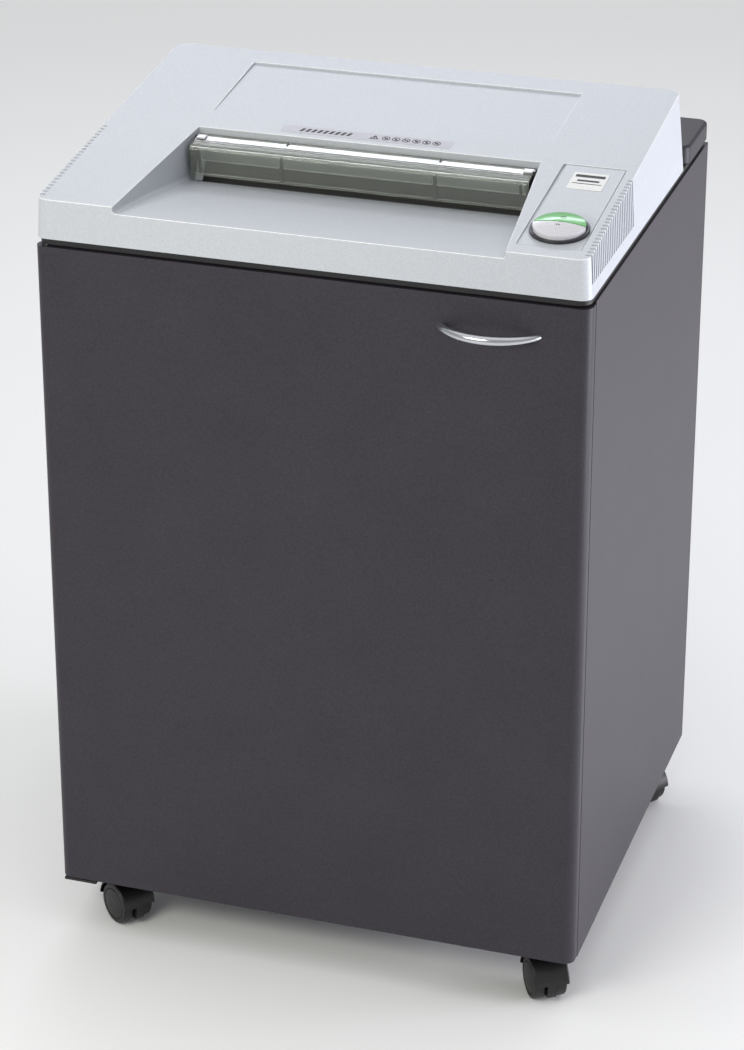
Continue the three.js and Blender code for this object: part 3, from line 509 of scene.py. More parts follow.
# %% Metals
def metal(name, base, rough, spread, mark_mm, stretch):
    material, tree, place = start_material(name)
    drawn = add_node(tree, "ShaderNodeMapping", {"Scale": stretch}, {"Vector": place})
    marks = add_node(
        tree,
        "ShaderNodeTexNoise",
        {"Scale": per_mm(mark_mm), "Detail": 4.0},
        {"Vector": drawn.outputs["Vector"]},
    )
    blur = add_node(
        tree,
        "ShaderNodeMapRange",
        {"From Min": 0.25, "From Max": 0.75, "To Min": rough, "To Max": rough + spread},
        {"Value": marks.outputs["Fac"]},
    )
    scratch = add_node(
        tree, "ShaderNodeBump", {"Strength": 0.1, "Distance": 0.00005}, {"Height": marks.outputs["Fac"]}
    )
    shader = add_node(
        tree,
        "ShaderNodeBsdfPrincipled",
        {"Base Color": linear(base), "Metallic": 1.0},
        {"Roughness": blur.outputs["Result"], "Normal": scratch.outputs["Normal"]},
    )
    close_material(tree, shader)
    return material


# Chrome plate on brushed steel: bright, with highlights drawn out along the bar.
satin_chrome = metal("satin_chrome", "#c9cbd0", 0.14, 0.08, 2.0, (0.1, 1, 1))
# Bare steel off the grinder: grey, with fine marks all one way.
ground_steel = metal("ground_steel", "#a6a8ab", 0.28, 0.14, 1.0, (0.08, 1, 1))
# Hardened steel under a film of oil: dark, with turned marks round it.
oiled_steel = metal("oiled_cutter_steel", "#4e5054", 0.3, 0.15, 1.5, (1, 0.2, 0.2))
print("made the metals")

# %% [markdown]
# Labels and inks: printed polyester film, smooth and slightly shiny, with a faint fibre from the
# backing. The inks lie on it as thin flat shapes of their own, which stay sharp at any distance.

# %% Films and inks
def film(name, base, rough):
    material, tree, place = start_material(name)
    fibre = add_node(tree, "ShaderNodeTexNoise", {"Scale": per_mm(2.5), "Detail": 3.0}, {"Vector": place})
    tint = add_node(
        tree,
        "ShaderNodeHueSaturation",
        {"Color": linear(base)},
        {
            "Value": add_node(
                tree,
                "ShaderNodeMapRange",
                {"From Min": 0.3, "From Max": 0.7, "To Min": 0.96, "To Max": 1.04},
                {"Value": fibre.outputs["Fac"]},
            ).outputs["Result"]
        },
    )
    shader = add_node(
        tree,
        "ShaderNodeBsdfPrincipled",
        {"Roughness": rough, "IOR": 1.5},
        {"Base Color": tint.outputs["Color"]},
    )
    close_material(tree, shader)
    return material


grey_film = film("pale_grey_film", "#bdbcc6", 0.4)
white_film = film("white_film", "#e6e6e4", 0.35)
black_ink = film("black_ink", "#1b1b1e", 0.5)
green_ink = film("dark_green_ink", "#2c6136", 0.4)
print("made the films")

# %% [markdown]
# ## Camera
# The machine is seen from its front right, from above. The lens is long, so its upright edges stay
# nearly upright, and a small shift keeps them so while the whole machine stays in the picture.

# %% Place the camera
TURN = math.radians(17.86)
TILT = math.radians(23.4)
camera_data = bpy.data.cameras.new("camera")
camera = bpy.data.objects.new("camera", camera_data)
bpy.context.scene.collection.objects.link(camera)
bpy.context.scene.camera = camera
camera_data.lens = 109.7
camera_data.sensor_width = 36
camera_data.shift_y = -0.12
camera_data.clip_end = 50
camera.location = at(980.5, -2825.7, 1981.4)
look = Vector(
    (-math.sin(TURN) * math.cos(TILT), math.cos(TURN) * math.cos(TILT), -math.sin(TILT))
)
camera.rotation_euler = look.to_track_quat("-Z", "Y").to_euler()
print("camera at", camera.location)

# %% [markdown]
# ## Cabinet boards
# The side boards are melamine-faced chipboard with a thin edge band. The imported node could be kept
# as it is, but its edges are dead sharp. A new block at the node's place has every edge eased by
# about half a millimetre, as the banding machine leaves it: that small round is what catches the
# light along the edge.

# %% Side boards
EDGE_EASE = 0.6


def side_board(node):
    piece = block(node + "_board", *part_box(node))
    round_edges(piece, EDGE_EASE, 2, lambda edge: True)
    return piece


for node in ("side_panel_left", "side_panel_right"):
    finish_piece(side_board(node), "cabinet", anthracite_melamine, [node])

# %% [markdown]
# ## Door
# The door is a 20 mm board whose upright edges are rounded over by post-forming: the laminate is
# bent round the edge without a joint. The hinge edge is a full half round, so that it can turn
# beside the cabinet. A bevel modifier would round all edges alike, so each pair of edges is picked
# by its place and bevelled.

# %% Door
HINGE_ROUND = 9.98  # just under half the board's thickness, so that its two bevels do not meet
FREE_ROUND = 12


def door_board():
    low, high = reach("door_panel")
    piece = block("door_board", at(*low), at(*high))
    left, right = at(*low).x, at(*high).x
    front = at(*low).y
    back = front + 0.9 * (high.y - low.y) * MM
    ends = (at(*high).z, at(*low).z)
    at_left = lambda e: upright(e) and abs(middle(e).x - left) < 1e-4
    at_right = lambda e: upright(e) and abs(middle(e).x - right) < 1e-4
    round_edges(piece, HINGE_ROUND, 12, at_left)
    round_edges(piece, FREE_ROUND, 12, lambda e: at_right(e) and abs(middle(e).y - front) < 1e-4)
    round_edges(piece, 1, 2, lambda e: at_right(e) and middle(e).y > back)
    at_end = lambda e: any(abs(v - middle(e).z) < 1e-5 for v in ends)
    round_edges(piece, 0.5, 2, lambda e: at_end(e) and not upright(e))
    return piece


finish_piece(door_board(), "door", anthracite_melamine, ["door_panel"])

# %% [markdown]
# ## Bow handle
# A chromed bar bent to a shallow bow and screwed on from inside the door. Its section is an oval
# that narrows a little towards the ends. A curve with a round bevel would give the bow too, but not
# the oval, so a circle is spun about the bow's centre, squeezed, and trimmed at the door.

# %% Bow handle
handle_low, handle_high = reach("door_handle")
handle_x = (handle_low.x + handle_high.x) / 2
handle_z = (handle_low.z + handle_high.z) / 2
HANDLE_SPAN = 106
HANDLE_REACH = -handle_low.y
BAR_RADIUS = 4.4
BAR_INSET = 4.6  # the bar's middle line lies this far inside the bow's furthest point
PAST_DOOR = 0.05  # radians that the bow runs on behind the door's face before it is trimmed


def bow_handle():
    radius = ((HANDLE_SPAN / 2) ** 2 + HANDLE_REACH**2) / (2 * HANDLE_REACH)
    spread = math.asin(HANDLE_SPAN / 2 / radius) + PAST_DOOR
    deselect_everything()
    bpy.ops.mesh.primitive_circle_add(
        vertices=24,
        radius=BAR_RADIUS * MM,
        fill_type="NGON",
        location=at(handle_x, -HANDLE_REACH + BAR_INSET, handle_z),
        rotation=(0, math.pi / 2, 0),
    )
    piece = bpy.context.object
    piece.name = "bow_handle"
    settle(piece)
    centre = at(handle_x, -HANDLE_REACH + BAR_INSET + radius, handle_z)
    turn = Matrix.Translation(centre) @ Matrix.Rotation(-spread, 4, "Z") @ Matrix.Translation(-centre)
    piece.data.transform(turn)
    edit(piece)
    bpy.ops.mesh.select_all(action="SELECT")
    bpy.ops.mesh.spin(steps=40, angle=-2 * spread, center=centre, axis=(0, 0, 1))
    bpy.ops.mesh.select_all(action="SELECT")
    bpy.ops.mesh.bisect(
        plane_co=at(0, -0.3, 0), plane_no=(0, 1, 0), use_fill=True, clear_outer=True
    )
    close_edit()
    for vertex in piece.data.vertices:
        share = abs(vertex.co.x / MM - handle_x) / (HANDLE_SPAN / 2)
        height = 1.12 - 0.16 * share**2
        vertex.co.z = handle_z * MM + (vertex.co.z - handle_z * MM) * height
    return piece


handle = bow_handle()
print("bow spans", [round(v / MM, 1) for v in handle.dimensions])
finish_piece(handle, "door", satin_chrome, ["door_handle"], angle=50)

# %% [markdown]
# Two screws hold the bow from inside the door, and a steel block near the door's free edge meets
# the magnet of the catch. They show only when the door is open. A sphere cut in half would look too
# round for a screw head, so a short cylinder has its top inset and raised to a low dome, and a slot
# is cut across it.

# %% Handle screws and strike plate
HANDLE_HOLES = 96
door_back = reach("door_panel")[1].y


def screw_head(x, z):
    piece = bar("head", 4.2, at(x, door_back - 0.2, z), at(x, door_back + 1.2, z))
    edit(piece)
    pick(piece, "FACE", lambda f: f.normal.y > 0.9)
    for inset, rise in ((0.7, 0.45), (1.0, 0.3), (1.2, 0.15)):
        bpy.ops.mesh.inset(thickness=inset * MM, depth=0)
        bpy.ops.transform.translate(value=(0, rise * MM, 0))
    close_edit()
    slot = block("slot", at(x - 3.4, door_back + 1.1, z - 0.5), at(x + 3.4, door_back + 4, z + 0.5))
    return cut(piece, slot)


screws = [screw_head(handle_x + side * HANDLE_HOLES / 2, handle_z) for side in (-1, 1)]
finish_piece(gather("handle_screws", screws), "door", ground_steel)
catch_low, catch_high = reach("door_catch")
strike = block(
    "strike_plate",
    at(catch_low.x, door_back, catch_low.z + 3),
    at(catch_high.x, catch_low.y - 0.4, catch_high.z - 3),
)
round_edges(strike, 2.5, 5, lambda e: runs_along(e, 1))
round_edges(strike, 0.3, 2, sharp)
print("strike plate", [round(v / MM, 1) for v in strike.dimensions])
finish_piece(strike, "door", ground_steel)

# %% [markdown]
# ## Board behind the cover
# A low dark board closes the top of the cabinet behind the silver cover. Its corners are round, and
# its upper edge has a wide soft bevel that shows as a lighter line along the side. The corners are
# rounded first, so that the bevel of the top runs round them without a break.

# %% Board behind the cover
def shelf_board():
    low, high = reach("rear_shelf")
    piece = block("shelf_board", at(*low), at(*high))
    round_edges(piece, 12, 8, upright)
    top = at(*high).z
    round_edges(piece, 3.5, 4, lambda e: abs(middle(e).z - top) < 1e-5)
    return piece


finish_piece(shelf_board(), "cabinet", anthracite_melamine, ["rear_shelf"])

# %% [markdown]
# ## Silver cover
# The cover is one injection moulding, about 3 mm thick. A moulder would think of it as an outer
# form, with drafted sides and round corners, from which the feed recess is sunk before the inside
# is hollowed to leave an even wall. It is made here in the same order: the outer block first, then
# the recess and its rounded rim, then the shallow panels, the ventilation slots and the hole for
# the switch, and last the hollow. It could be built up from separate walls, but then their meeting
# lines would show; cutting one block leaves none.

# %% Heights on the cover
COVER_FRONT = 43
COVER_CREST = 91
COVER_TOP_DEPTH = 405
SIDE_DRAFT = 0.058
slope = math.atan2(COVER_CREST - COVER_FRONT, COVER_TOP_DEPTH)
top_normal = Vector((0, -math.sin(slope), math.cos(slope)))


def surface(y):
    """The height of the sloping top above the floor, y back from the door's face."""
    return cover_foot + COVER_FRONT + y * math.tan(slope)


TABLE_EDGE = COVER_FRONT - 7.5
TABLE_DROP = 18.5
TABLE_END = 168
CORNER_ROUND = 12


def table(y):
    """The height of the feed table: a shallow arc that falls towards the slot."""
    t = min(1, max(0, y / TABLE_END))
    return cover_foot + TABLE_EDGE - TABLE_DROP * t * (0.35 + 0.65 * t)


print("slope of the top", round(math.degrees(slope), 2), "degrees")

# %% Outer block
def cover_block():
    low, high = reach("top_cover")
    piece = block("silver_cover", at(*low), at(*high))
    crest = at(*high).z
    back = at(*high).y
    for vertex in piece.data.vertices:
        if vertex.co.z > crest - 1e-5:
            rear = vertex.co.y > back - 1e-5
            level = COVER_CREST if rear else COVER_FRONT
            vertex.co.z = (cover_foot + level) * MM
            vertex.co.y = at(0, COVER_TOP_DEPTH if rear else 0, 0).y
            vertex.co.x -= math.copysign(SIDE_DRAFT * level * MM, vertex.co.x)
    round_edges(piece, CORNER_ROUND, 10, leaning_upright)
    return piece


cover = cover_block()
cover.data.materials.append(silver_abs)
cover.data.materials.append(painted_highlight_abs)
print("outer block", len(cover.data.polygons), "faces")

# %% [markdown]
# The feed recess narrows towards the back and its floor is a shallow arc that falls to the slot. A
# curved floor could come from a curve or a sculpted grid. Here a box is sliced at set depths and
# its lower points are moved to the arc, which keeps the sides flat and lets the same box, grown by
# the wall, leave the hollow's even thickness later. Where its floor meets its sides it is rounded,
# as in the mould.

# %% Feed recess
FEED_BACK = 201
FEED_HALF_FRONT = 207
FEED_HALF_BACK = 188
SLOT_FRONT = 176
SLOT_BACK = 186
SLOT_HALF = 181
TABLE_STATIONS = (0, 20, 40, 60, 80, 100, 115, 130, 142, 152, 160, 166)
SLOT_LIP = [
    (170, 16.7), (173, 15.4), (175, 13.8), (SLOT_FRONT, 12), (SLOT_BACK, 8), (191, 14), (196, 21),
]


def feed_half(y):
    return FEED_HALF_FRONT + (FEED_HALF_BACK - FEED_HALF_FRONT) * y / FEED_BACK


def cove_edge(edge):
    """An edge where the recess's floor meets one of its sides."""
    place = middle(edge)
    beside = abs(place.x) > 0.17 and abs(edge.verts[0].co.x - edge.verts[1].co.x) < 0.01
    low_down = place.z < (cover_foot + 60) * MM and not upright(edge)
    return beside and low_down and edge.calc_face_angle(0) > 1.2


def feed_tool(grow):
    """The hollow of the feed recess, or the same grown by a wall's thickness."""
    piece = block("feed_tool", at(-1, -20, cover_foot - 20), at(1, FEED_BACK + grow, cover_foot + 140))
    for vertex in piece.data.vertices:
        vertex.co.x = math.copysign((feed_half(depth_of(vertex.co)) + grow) * MM, vertex.co.x)
    stations = [(y, table(y) - cover_foot) for y in TABLE_STATIONS] + SLOT_LIP
    edit(piece)
    for y, _ in stations:
        bpy.ops.mesh.select_all(action="SELECT")
        bpy.ops.mesh.bisect(plane_co=at(0, y, 0), plane_no=(0, 1, 0))
    close_edit()
    heights = {round(y): z for y, z in stations}
    heights[-20] = heights[0]
    heights[round(FEED_BACK + grow)] = 30
    floor = at(0, 0, cover_foot - 20).z
    for vertex in piece.data.vertices:
        if vertex.co.z < floor + 1e-5:
            vertex.co.z = (cover_foot + heights[round(depth_of(vertex.co))] - grow) * MM
    if not grow:
        print("cove edges", round_edges(piece, 4, 4, cove_edge))
    return piece


cut(cover, feed_tool(0))


def rim(edge):
    """An edge of the sloping top, or an upper edge of the front face."""
    normals = [face.normal for face in edge.link_faces]
    if len(normals) != 2:
        return False
    on_top = [n.dot(top_normal) > 0.9995 for n in normals]
    in_front = [n.y < -0.9995 for n in normals]
    high = middle(edge).z > (cover_foot + 20) * MM and not upright(edge)
    return high and (sum(on_top) == 1 or sum(in_front) == 1)


# The rounded rim faces take the second material, whose pale colour is a painted highlight.
print("rim edges", round_edges(cover, 1.6, 4, rim, highlight_slot=1))

# %% [markdown]
# The two sunk panels are shallow: a millimetre or so at the front and nearly three at the back, so
# the line round them is fine in front and stronger behind. Each is cut by a block whose floor is
# tipped. An inset of the top face would sink a panel too, but it would need the face to have no
# holes in it.

# %% Sunk panels
def sunk_tool(name, x0, x1, y0, y1, front_depth, back_depth, corner):
    piece = block(name, at(x0, y0, cover_foot), at(x1, y1, cover_foot + 130))
    foot = at(0, 0, cover_foot).z
    for vertex in piece.data.vertices:
        if vertex.co.z < foot + 1e-5:
            y = depth_of(vertex.co)
            depth = front_depth if y < (y0 + y1) / 2 else back_depth
            vertex.co.z = (surface(y) - depth) * MM
    round_edges(piece, corner, 4, upright)
    return piece


PANEL_HALF = 187
PANEL_FRONT, PANEL_BACK = 243, 373
PANEL_CORNER = 3.0
CONTROL_LEFT, CONTROL_RIGHT = 212, 279
CONTROL_FRONT, CONTROL_BACK = 18, 204
cut(
    cover,
    sunk_tool("panel_tool", -PANEL_HALF, PANEL_HALF, PANEL_FRONT, PANEL_BACK, 1.0, 2.6, PANEL_CORNER),
    sunk_tool(
        "control_tool", CONTROL_LEFT, CONTROL_RIGHT, CONTROL_FRONT, CONTROL_BACK, 1.6, 2.8, PANEL_CORNER
    ),
)


def panel_lip(edge):
    """An upper edge of a sunk panel: the panel's wall falls away from the sloping top there."""
    normals = [face.normal for face in edge.link_faces]
    if len(normals) != 2 or not edge.is_convex:
        return False
    on_top = sum(n.dot(top_normal) > 0.9995 for n in normals) == 1
    steep = any(abs(n.dot(top_normal)) < 0.3 for n in normals)
    place = middle(edge)
    y = depth_of(place)
    at_surface = place.z > at(0, 0, surface(y) - 0.5).z
    return on_top and steep and at_surface and CONTROL_FRONT + 1 < y < PANEL_BACK + 7


# The panel lips take the same painted highlight.
print("panel lips", round_edges(cover, 0.8, 2, panel_lip, highlight_slot=1))
print("cover with panels", len(cover.data.polygons), "faces")

# %% [markdown]
# Ventilation slots run up both sides and end with a small arch on the top. One slot is shaped,
# copied along the side and mirrored across, and all of them are cut at once. An array modifier
# could space them as well; copies are used so that each slot and its mirror stand in one mesh for a
# single boolean.

# %% Ventilation slots
VENTS = 24
VENT_FIRST = 11
VENT_PITCH = 7.3
VENT_WIDTH = 3.5


def vent_tool():
    start = at(cover_half - 9.5, VENT_FIRST - VENT_WIDTH / 2, cover_foot + 15)
    end = at(cover_half + 5, VENT_FIRST + VENT_WIDTH / 2, cover_foot + COVER_CREST + 10)
    one = block("vent_tool", start, end)
    inner = start.x
    round_edges(one, 1.6, 4, lambda e: upright(e) and abs(middle(e).x - inner) < 1e-5)
    slots = []
    for i in range(VENTS):
        step = Matrix.Translation(spot(0, i * VENT_PITCH, 0))
        slots.append(copy_of(one, f"vent_tool_{i}", step))
        slots.append(copy_of(one, f"vent_tool_left_{i}", MIRROR_ACROSS @ step))
    bpy.data.objects.remove(one)
    tool = gather("vent_tools", slots)
    edit(tool)
    point_outwards()
    close_edit()
    return tool


cut(cover, vent_tool())
print("cover with vents", len(cover.data.polygons), "faces")

# %% [markdown]
# Last the throat slot, the hole for the switch and the hollow are cut. A Solidify modifier would
# give a wall to an open shell, but it thins or tears at the recess, so the hollow is a smaller copy
# of the outer form with the grown recess taken from it. What is left between them is an even wall.

# %% Switch hole, slot and hollow
WALL = 3
SWITCH_X, SWITCH_Y = 246.5, 57
SWITCH_HOLE = 22
switch_centre = at(SWITCH_X, SWITCH_Y, surface(SWITCH_Y))
slot_tool = block(
    "slot_tool", at(-SLOT_HALF, SLOT_FRONT, cover_foot - 8), at(SLOT_HALF, SLOT_BACK, cover_foot + 22)
)


def switch_drill(name, radius, reach_mm):
    """A round tool through the switch's centre, square to the sloping top."""
    half = top_normal * (reach_mm * MM)
    return bar(name, radius, switch_centre - half, switch_centre + half, 48)


def hollow_tool():
    low, high = reach("top_cover")
    piece = block(
        "hollow_tool",
        at(low.x + WALL, WALL, cover_foot - 10),
        at(high.x - WALL, cover_depth - WALL, cover_foot + COVER_CREST),
    )
    crest = at(0, 0, cover_foot + COVER_CREST).z
    for vertex in piece.data.vertices:
        if vertex.co.z > crest - 1e-5:
            rear = vertex.co.y > 0
            level = COVER_CREST if rear else COVER_FRONT
            vertex.co.y = at(0, COVER_TOP_DEPTH - WALL if rear else WALL, 0).y
            vertex.co.z = (surface(depth_of(vertex.co)) - WALL / math.cos(slope)) * MM
            vertex.co.x -= math.copysign(SIDE_DRAFT * level * MM, vertex.co.x)
    round_edges(piece, CORNER_ROUND - WALL, 4, leaning_upright)
    return cut(piece, feed_tool(WALL))


cut(cover, slot_tool, switch_drill("hole_tool", SWITCH_HOLE, 20), hollow_tool())
finish_piece(
    cover, "cabinet", silver_abs, ["top_cover"], angle=35, edge_material=painted_highlight_abs
)

# %% [markdown]
# ## Control strip
# A thin overlay lies in the sunk strip, a little smaller than it, so a fine second line runs beside
# the edge. It has a round hole for the switch. It is made flat at the origin, where a block is easy
# to shape, and its mesh is then tipped and moved to the slope.

# %% Overlay
def on_slope(x, y, lift):
    """A point on the sloping top, raised by lift along its normal."""
    return at(x, y, surface(y)) + top_normal * lift * MM


def slope_plate(name, x0, x1, y0, y1, foot, head, corner=1.0):
    """A thin plate that lies parallel to the sloping top, between two heights above it."""
    half, length = (x1 - x0) / 2, (y1 - y0) / math.cos(slope)
    piece = block(name, spot(-half, -length / 2, foot), spot(half, length / 2, head))
    round_edges(piece, corner, 3, upright)
    place = Matrix.Translation(on_slope((x0 + x1) / 2, (y0 + y1) / 2, 0)) @ Matrix.Rotation(slope, 4, "X")
    piece.data.transform(place)
    return piece


overlay = slope_plate(
    "control_overlay",
    CONTROL_LEFT + 3.2,
    CONTROL_RIGHT - 1.2,
    CONTROL_FRONT + 2,
    CONTROL_BACK - 1.5,
    foot=-1.7,
    head=-0.9,
)
cut(overlay, switch_drill("hole", SWITCH_HOLE + 0.5, 10))
finish_piece(overlay, "cabinet", silver_abs)

# %% [markdown]
# ## Rocker switch
# The switch is a round rocker. Its front half is pearl white and domed, its back half is a clear
# green lens with the power sign, and it sits in a dark rim. A squashed sphere would have its
# steepest part at the rim, where the real one has a short straight side, so a flat-topped disc is
# domed by drawing in and raising its middle, then cut in two with a groove between the halves.

# %% Rocker
ROCKER_RADIUS = 27
to_switch = Matrix.Translation(switch_centre) @ Matrix.Rotation(slope, 4, "X")


def domed_disc(name, radius, foot, edge, crown):
    """A disc with a domed top: foot, edge and crown are its heights."""
    piece = bar(name, radius, spot(0, 0, foot), spot(0, 0, edge), 64)
    edit(piece)
    pick(piece, "FACE", lambda f: f.normal.z > 0.9)
    before, rise = 1, 0
    for share in (0.97, 0.92, 0.84, 0.72, 0.56, 0.36, 0.16):
        goal = (crown - edge) * (1 - share**2.2)
        bpy.ops.mesh.inset(thickness=(before - share) * radius * MM, depth=0)
        bpy.ops.transform.translate(value=(0, 0, (goal - rise) * MM))
        before, rise = share, goal
    close_edit()
    return piece


def half_of(piece, side, gap):
    """Keeps the back (side 1) or front (side -1) half of a piece, short of the middle by a gap."""
    edit(piece)
    bpy.ops.mesh.select_all(action="SELECT")
    bpy.ops.mesh.bisect(
        plane_co=spot(0, side * gap, 0), plane_no=(0, -side, 0), use_fill=True, clear_outer=True
    )
    close_edit()
    return piece


white_half = half_of(domed_disc("rocker_white_half", ROCKER_RADIUS, 1.8, 6.8, 9.8), -1, 0.9)
green_half = half_of(domed_disc("rocker_green_lens", ROCKER_RADIUS - 0.6, 5.4, 6.6, 9.2), 1, 1.6)
lens_bed = half_of(bar("rocker_bed", ROCKER_RADIUS, spot(0, 0, 1.8), spot(0, 0, 5.2), 64), 1, -0.8)
stub = bar("rocker_stub", 17, spot(0, 0, -6), spot(0, 0, 2.4))
for piece in (white_half, green_half, lens_bed, stub):
    round_edges(piece, 0.5 if piece is green_half else 0.6, 3, sharp)
    piece.data.transform(to_switch)
finish_piece(white_half, "rocker", pearl_white, ["rocker_button"])
finish_piece(green_half, "rocker", green_acrylic, ["rocker_lens"])
finish_piece(gather("rocker_bed", [lens_bed, stub]), "rocker", dark_rim)

# %% [markdown]
# The dark rim round the rocker is a flat ring. One disc cut from another would do, but it is
# quicker to inset both ends of a disc and bridge the two inner faces, which opens the hole and
# gives clean rows of faces.

# %% Switch rim
def ring(name, outer, inner, foot, head, sides=64):
    """A flat ring about the Z axis."""
    piece = bar(name, outer, spot(0, 0, foot), spot(0, 0, head), sides)
    edit(piece)
    pick(piece, "FACE", lambda f: abs(f.normal.z) > 0.9)
    bpy.ops.mesh.inset(thickness=(outer - inner) * MM, depth=0, use_individual=True)
    bpy.ops.mesh.bridge_edge_loops()
    close_edit()
    return piece


rim_ring = ring("switch_rim", ROCKER_RADIUS + 3.4, ROCKER_RADIUS + 0.5, -0.8, 2.4)
round_edges(rim_ring, 0.6, 3, sharp)
rim_ring.data.transform(to_switch)
finish_piece(rim_ring, "cabinet", dark_rim, ["switch_bezel"])

# %% [markdown]
# ## Signs
# The signs on the switch and the strip behind the feed opening are plain pictograms with no
# lettering: the power sign, two short bars, a warning triangle and a row of ringed signs. They
# could be a picture on the surface, but here each is a thin inked shape a fifth of a millimetre
# thick or less, which needs no image.

# %% Signs on the switch
def power_sign():
    piece = ring("power_sign", 2.6, 1.9, 0, 0.2, 32)
    cut(piece, block("gap", spot(-0.9, 0, -1), spot(0.9, 4, 1)))
    return gather("power_sign", [piece, block("stem", spot(-0.35, 0.6, 0), spot(0.35, 3.2, 0.2))])


sign = power_sign()
sign.data.transform(to_switch @ Matrix.Translation(spot(1, 10.5, 8.85)))
finish_piece(sign, "rocker", green_ink)
bars = [block("pause_bar", spot(x - 0.55, -1.2, 0), spot(x + 0.55, 1.2, 0.2)) for x in (-1.2, 1.2)]
pause = gather("pause_sign", bars)
pause.data.transform(to_switch @ Matrix.Translation(spot(0, -7, 9.6)))
finish_piece(pause, "rocker", black_ink)

# %% [markdown]
# The caution strip is a film label with a row of stripes and signs. Each sign is drawn once as a
# list of corners and scaled, so a row of them is a short loop.

# %% Caution strip
INK = 0.15
strip = slope_plate("caution_film", -100, 88, 209, 226, 0.05, 0.25, 1.5)
finish_piece(strip, "cabinet", grey_film, ["caution_strip"])


def prism(name, points, size=1, height=INK):
    """A flat sign with the corners given, scaled to a size."""
    corners = [spot(x * size, y * size, 0) for x, y in points]
    return extruded(name, corners, (0, 0, height * MM))


def warning_triangle(size):
    outer = prism("triangle", [(-1, -0.7), (1, -0.7), (0, 1)], size)
    inner = prism("inner", [(-0.62, -0.48), (0.62, -0.48), (0, 0.58)], size, height=1)
    inner.data.transform(Matrix.Translation(spot(0, 0, -0.5)))
    cut(outer, inner)
    mark = prism("mark", [(-0.08, -0.12), (0.08, -0.12), (0.13, 0.36), (-0.13, 0.36)], size)
    dot = prism("dot", [(-0.09, -0.36), (0.09, -0.36), (0.09, -0.2), (-0.09, -0.2)], size)
    return gather("warning_triangle", [outer, mark, dot])


def ringed_sign(radius, figure):
    """A ring with a slanting bar and a small plain figure behind it."""
    circle = ring("ringed", radius, radius * 0.8, 0, INK, 24)
    slash = prism("slash", [(-0.09, -0.84), (0.09, -0.84), (0.09, 0.84), (-0.09, 0.84)], radius)
    slash.data.transform(Matrix.Rotation(math.radians(45), 4, "Z"))
    return gather("ringed_sign", [circle, slash, prism("figure", figure, radius)])


FIGURES = (
    [(-0.45, -0.35), (0.1, -0.45), (0.4, -0.1), (0.45, 0.3), (-0.1, 0.1)],
    [(-0.3, -0.5), (0.3, -0.5), (0.18, 0.1), (0, 0.5), (-0.18, 0.1)],
    [(-0.5, -0.12), (0.5, -0.12), (0.5, 0.12), (-0.5, 0.12)],
    [(-0.25, -0.4), (0.3, -0.4), (0.42, 0.25), (0.05, 0.45), (-0.4, 0.1)],
    [(-0.2, -0.5), (0.2, -0.5), (0.2, 0.5), (-0.2, 0.5)],
    [(-0.45, 0), (0, -0.45), (0.45, 0), (0, 0.45)],
)


SIGN_FIRST, SIGN_PITCH = 15.5, 11.1
STRIPES, STRIPE_FIRST, STRIPE_PITCH = 9, -80, 6.5


def caution_marks():
    marks = [warning_triangle(5.2)]
    marks[0].data.transform(Matrix.Translation(spot(3, -0.6, 0)))
    for i, figure in enumerate(FIGURES):
        one = ringed_sign(4.4, figure)
        one.data.transform(Matrix.Translation(spot(SIGN_FIRST + SIGN_PITCH * i, 0, 0)))
        marks.append(one)
    for i in range(STRIPES):
        x = STRIPE_FIRST + STRIPE_PITCH * i
        marks.append(prism("stripe", [(x, -3.6), (x + 3.4, -3.6), (x + 6.2, 3.6), (x + 2.8, 3.6)]))
    return gather("caution_signs", marks)


signs = caution_marks()
signs.data.transform(Matrix.Translation(on_slope(0, 217.5, 0.28)) @ Matrix.Rotation(slope, 4, "X"))
finish_piece(signs, "cabinet", black_ink)

# %% [markdown]
# The rating plate is a small white film in the control strip. Its printing is shown as three plain
# bars, made with the same sloping plates as the film.

# %% Rating plate
plate = slope_plate("rating_plate", 228, 265, 150, 188, -0.85, -0.45, 1.0)
finish_piece(plate, "cabinet", white_film, ["rating_label"])
plate_marks = [
    slope_plate("plate_band", 231, 262, 177.5, 183, -0.44, -0.32, 0.5),
    slope_plate("plate_line", 235, 258, 168, 171.5, -0.44, -0.32, 0.5),
    slope_plate("plate_thin_line", 231, 262, 162.5, 163.7, -0.44, -0.32, 0.3),
]
finish_piece(gather("plate_marks", plate_marks), "cabinet", black_ink)

# %% [markdown]
# ## Feed flap
# A clear guard keeps fingers from the cutters. It is an L in section, moulded in smoked acrylic: a
# narrow ledge that hinges on a steel shaft at its back, and a hanging face in three panes, each
# sunk a little into its frame. It could be two sheets glued at the bend, but one section drawn
# along the machine gives the rounded bend and the hinge barrel in one moulding, as the real one is.

# %% Flap
FLAP_HALF = 185
FLAP_FRONT = 163
FLAP_FOOT = 24
FLAP_LEAN = 5
flap_axis = next(joint for joint in frame["joints"] if joint["name"] == "flap_hinge")["pos_m"]
flap_y = (flap_axis[1] - door_face) / MM
flap_z = flap_axis[2] / MM


def profile_bar(name, points, x0, x1):
    """A straight moulding: a flat section of (back, up) points, up from the cover's foot, drawn along X."""
    corners = [at(x0, y, cover_foot + z) for y, z in points]
    return extruded(name, corners, ((x1 - x0) * MM, 0, 0))


def end_to_end(name, radius, half, sides=32):
    """A round bar along the flap's axis, as far to the left as to the right."""
    return bar(name, radius, at(-half, flap_y, flap_z), at(half, flap_y, flap_z), sides)


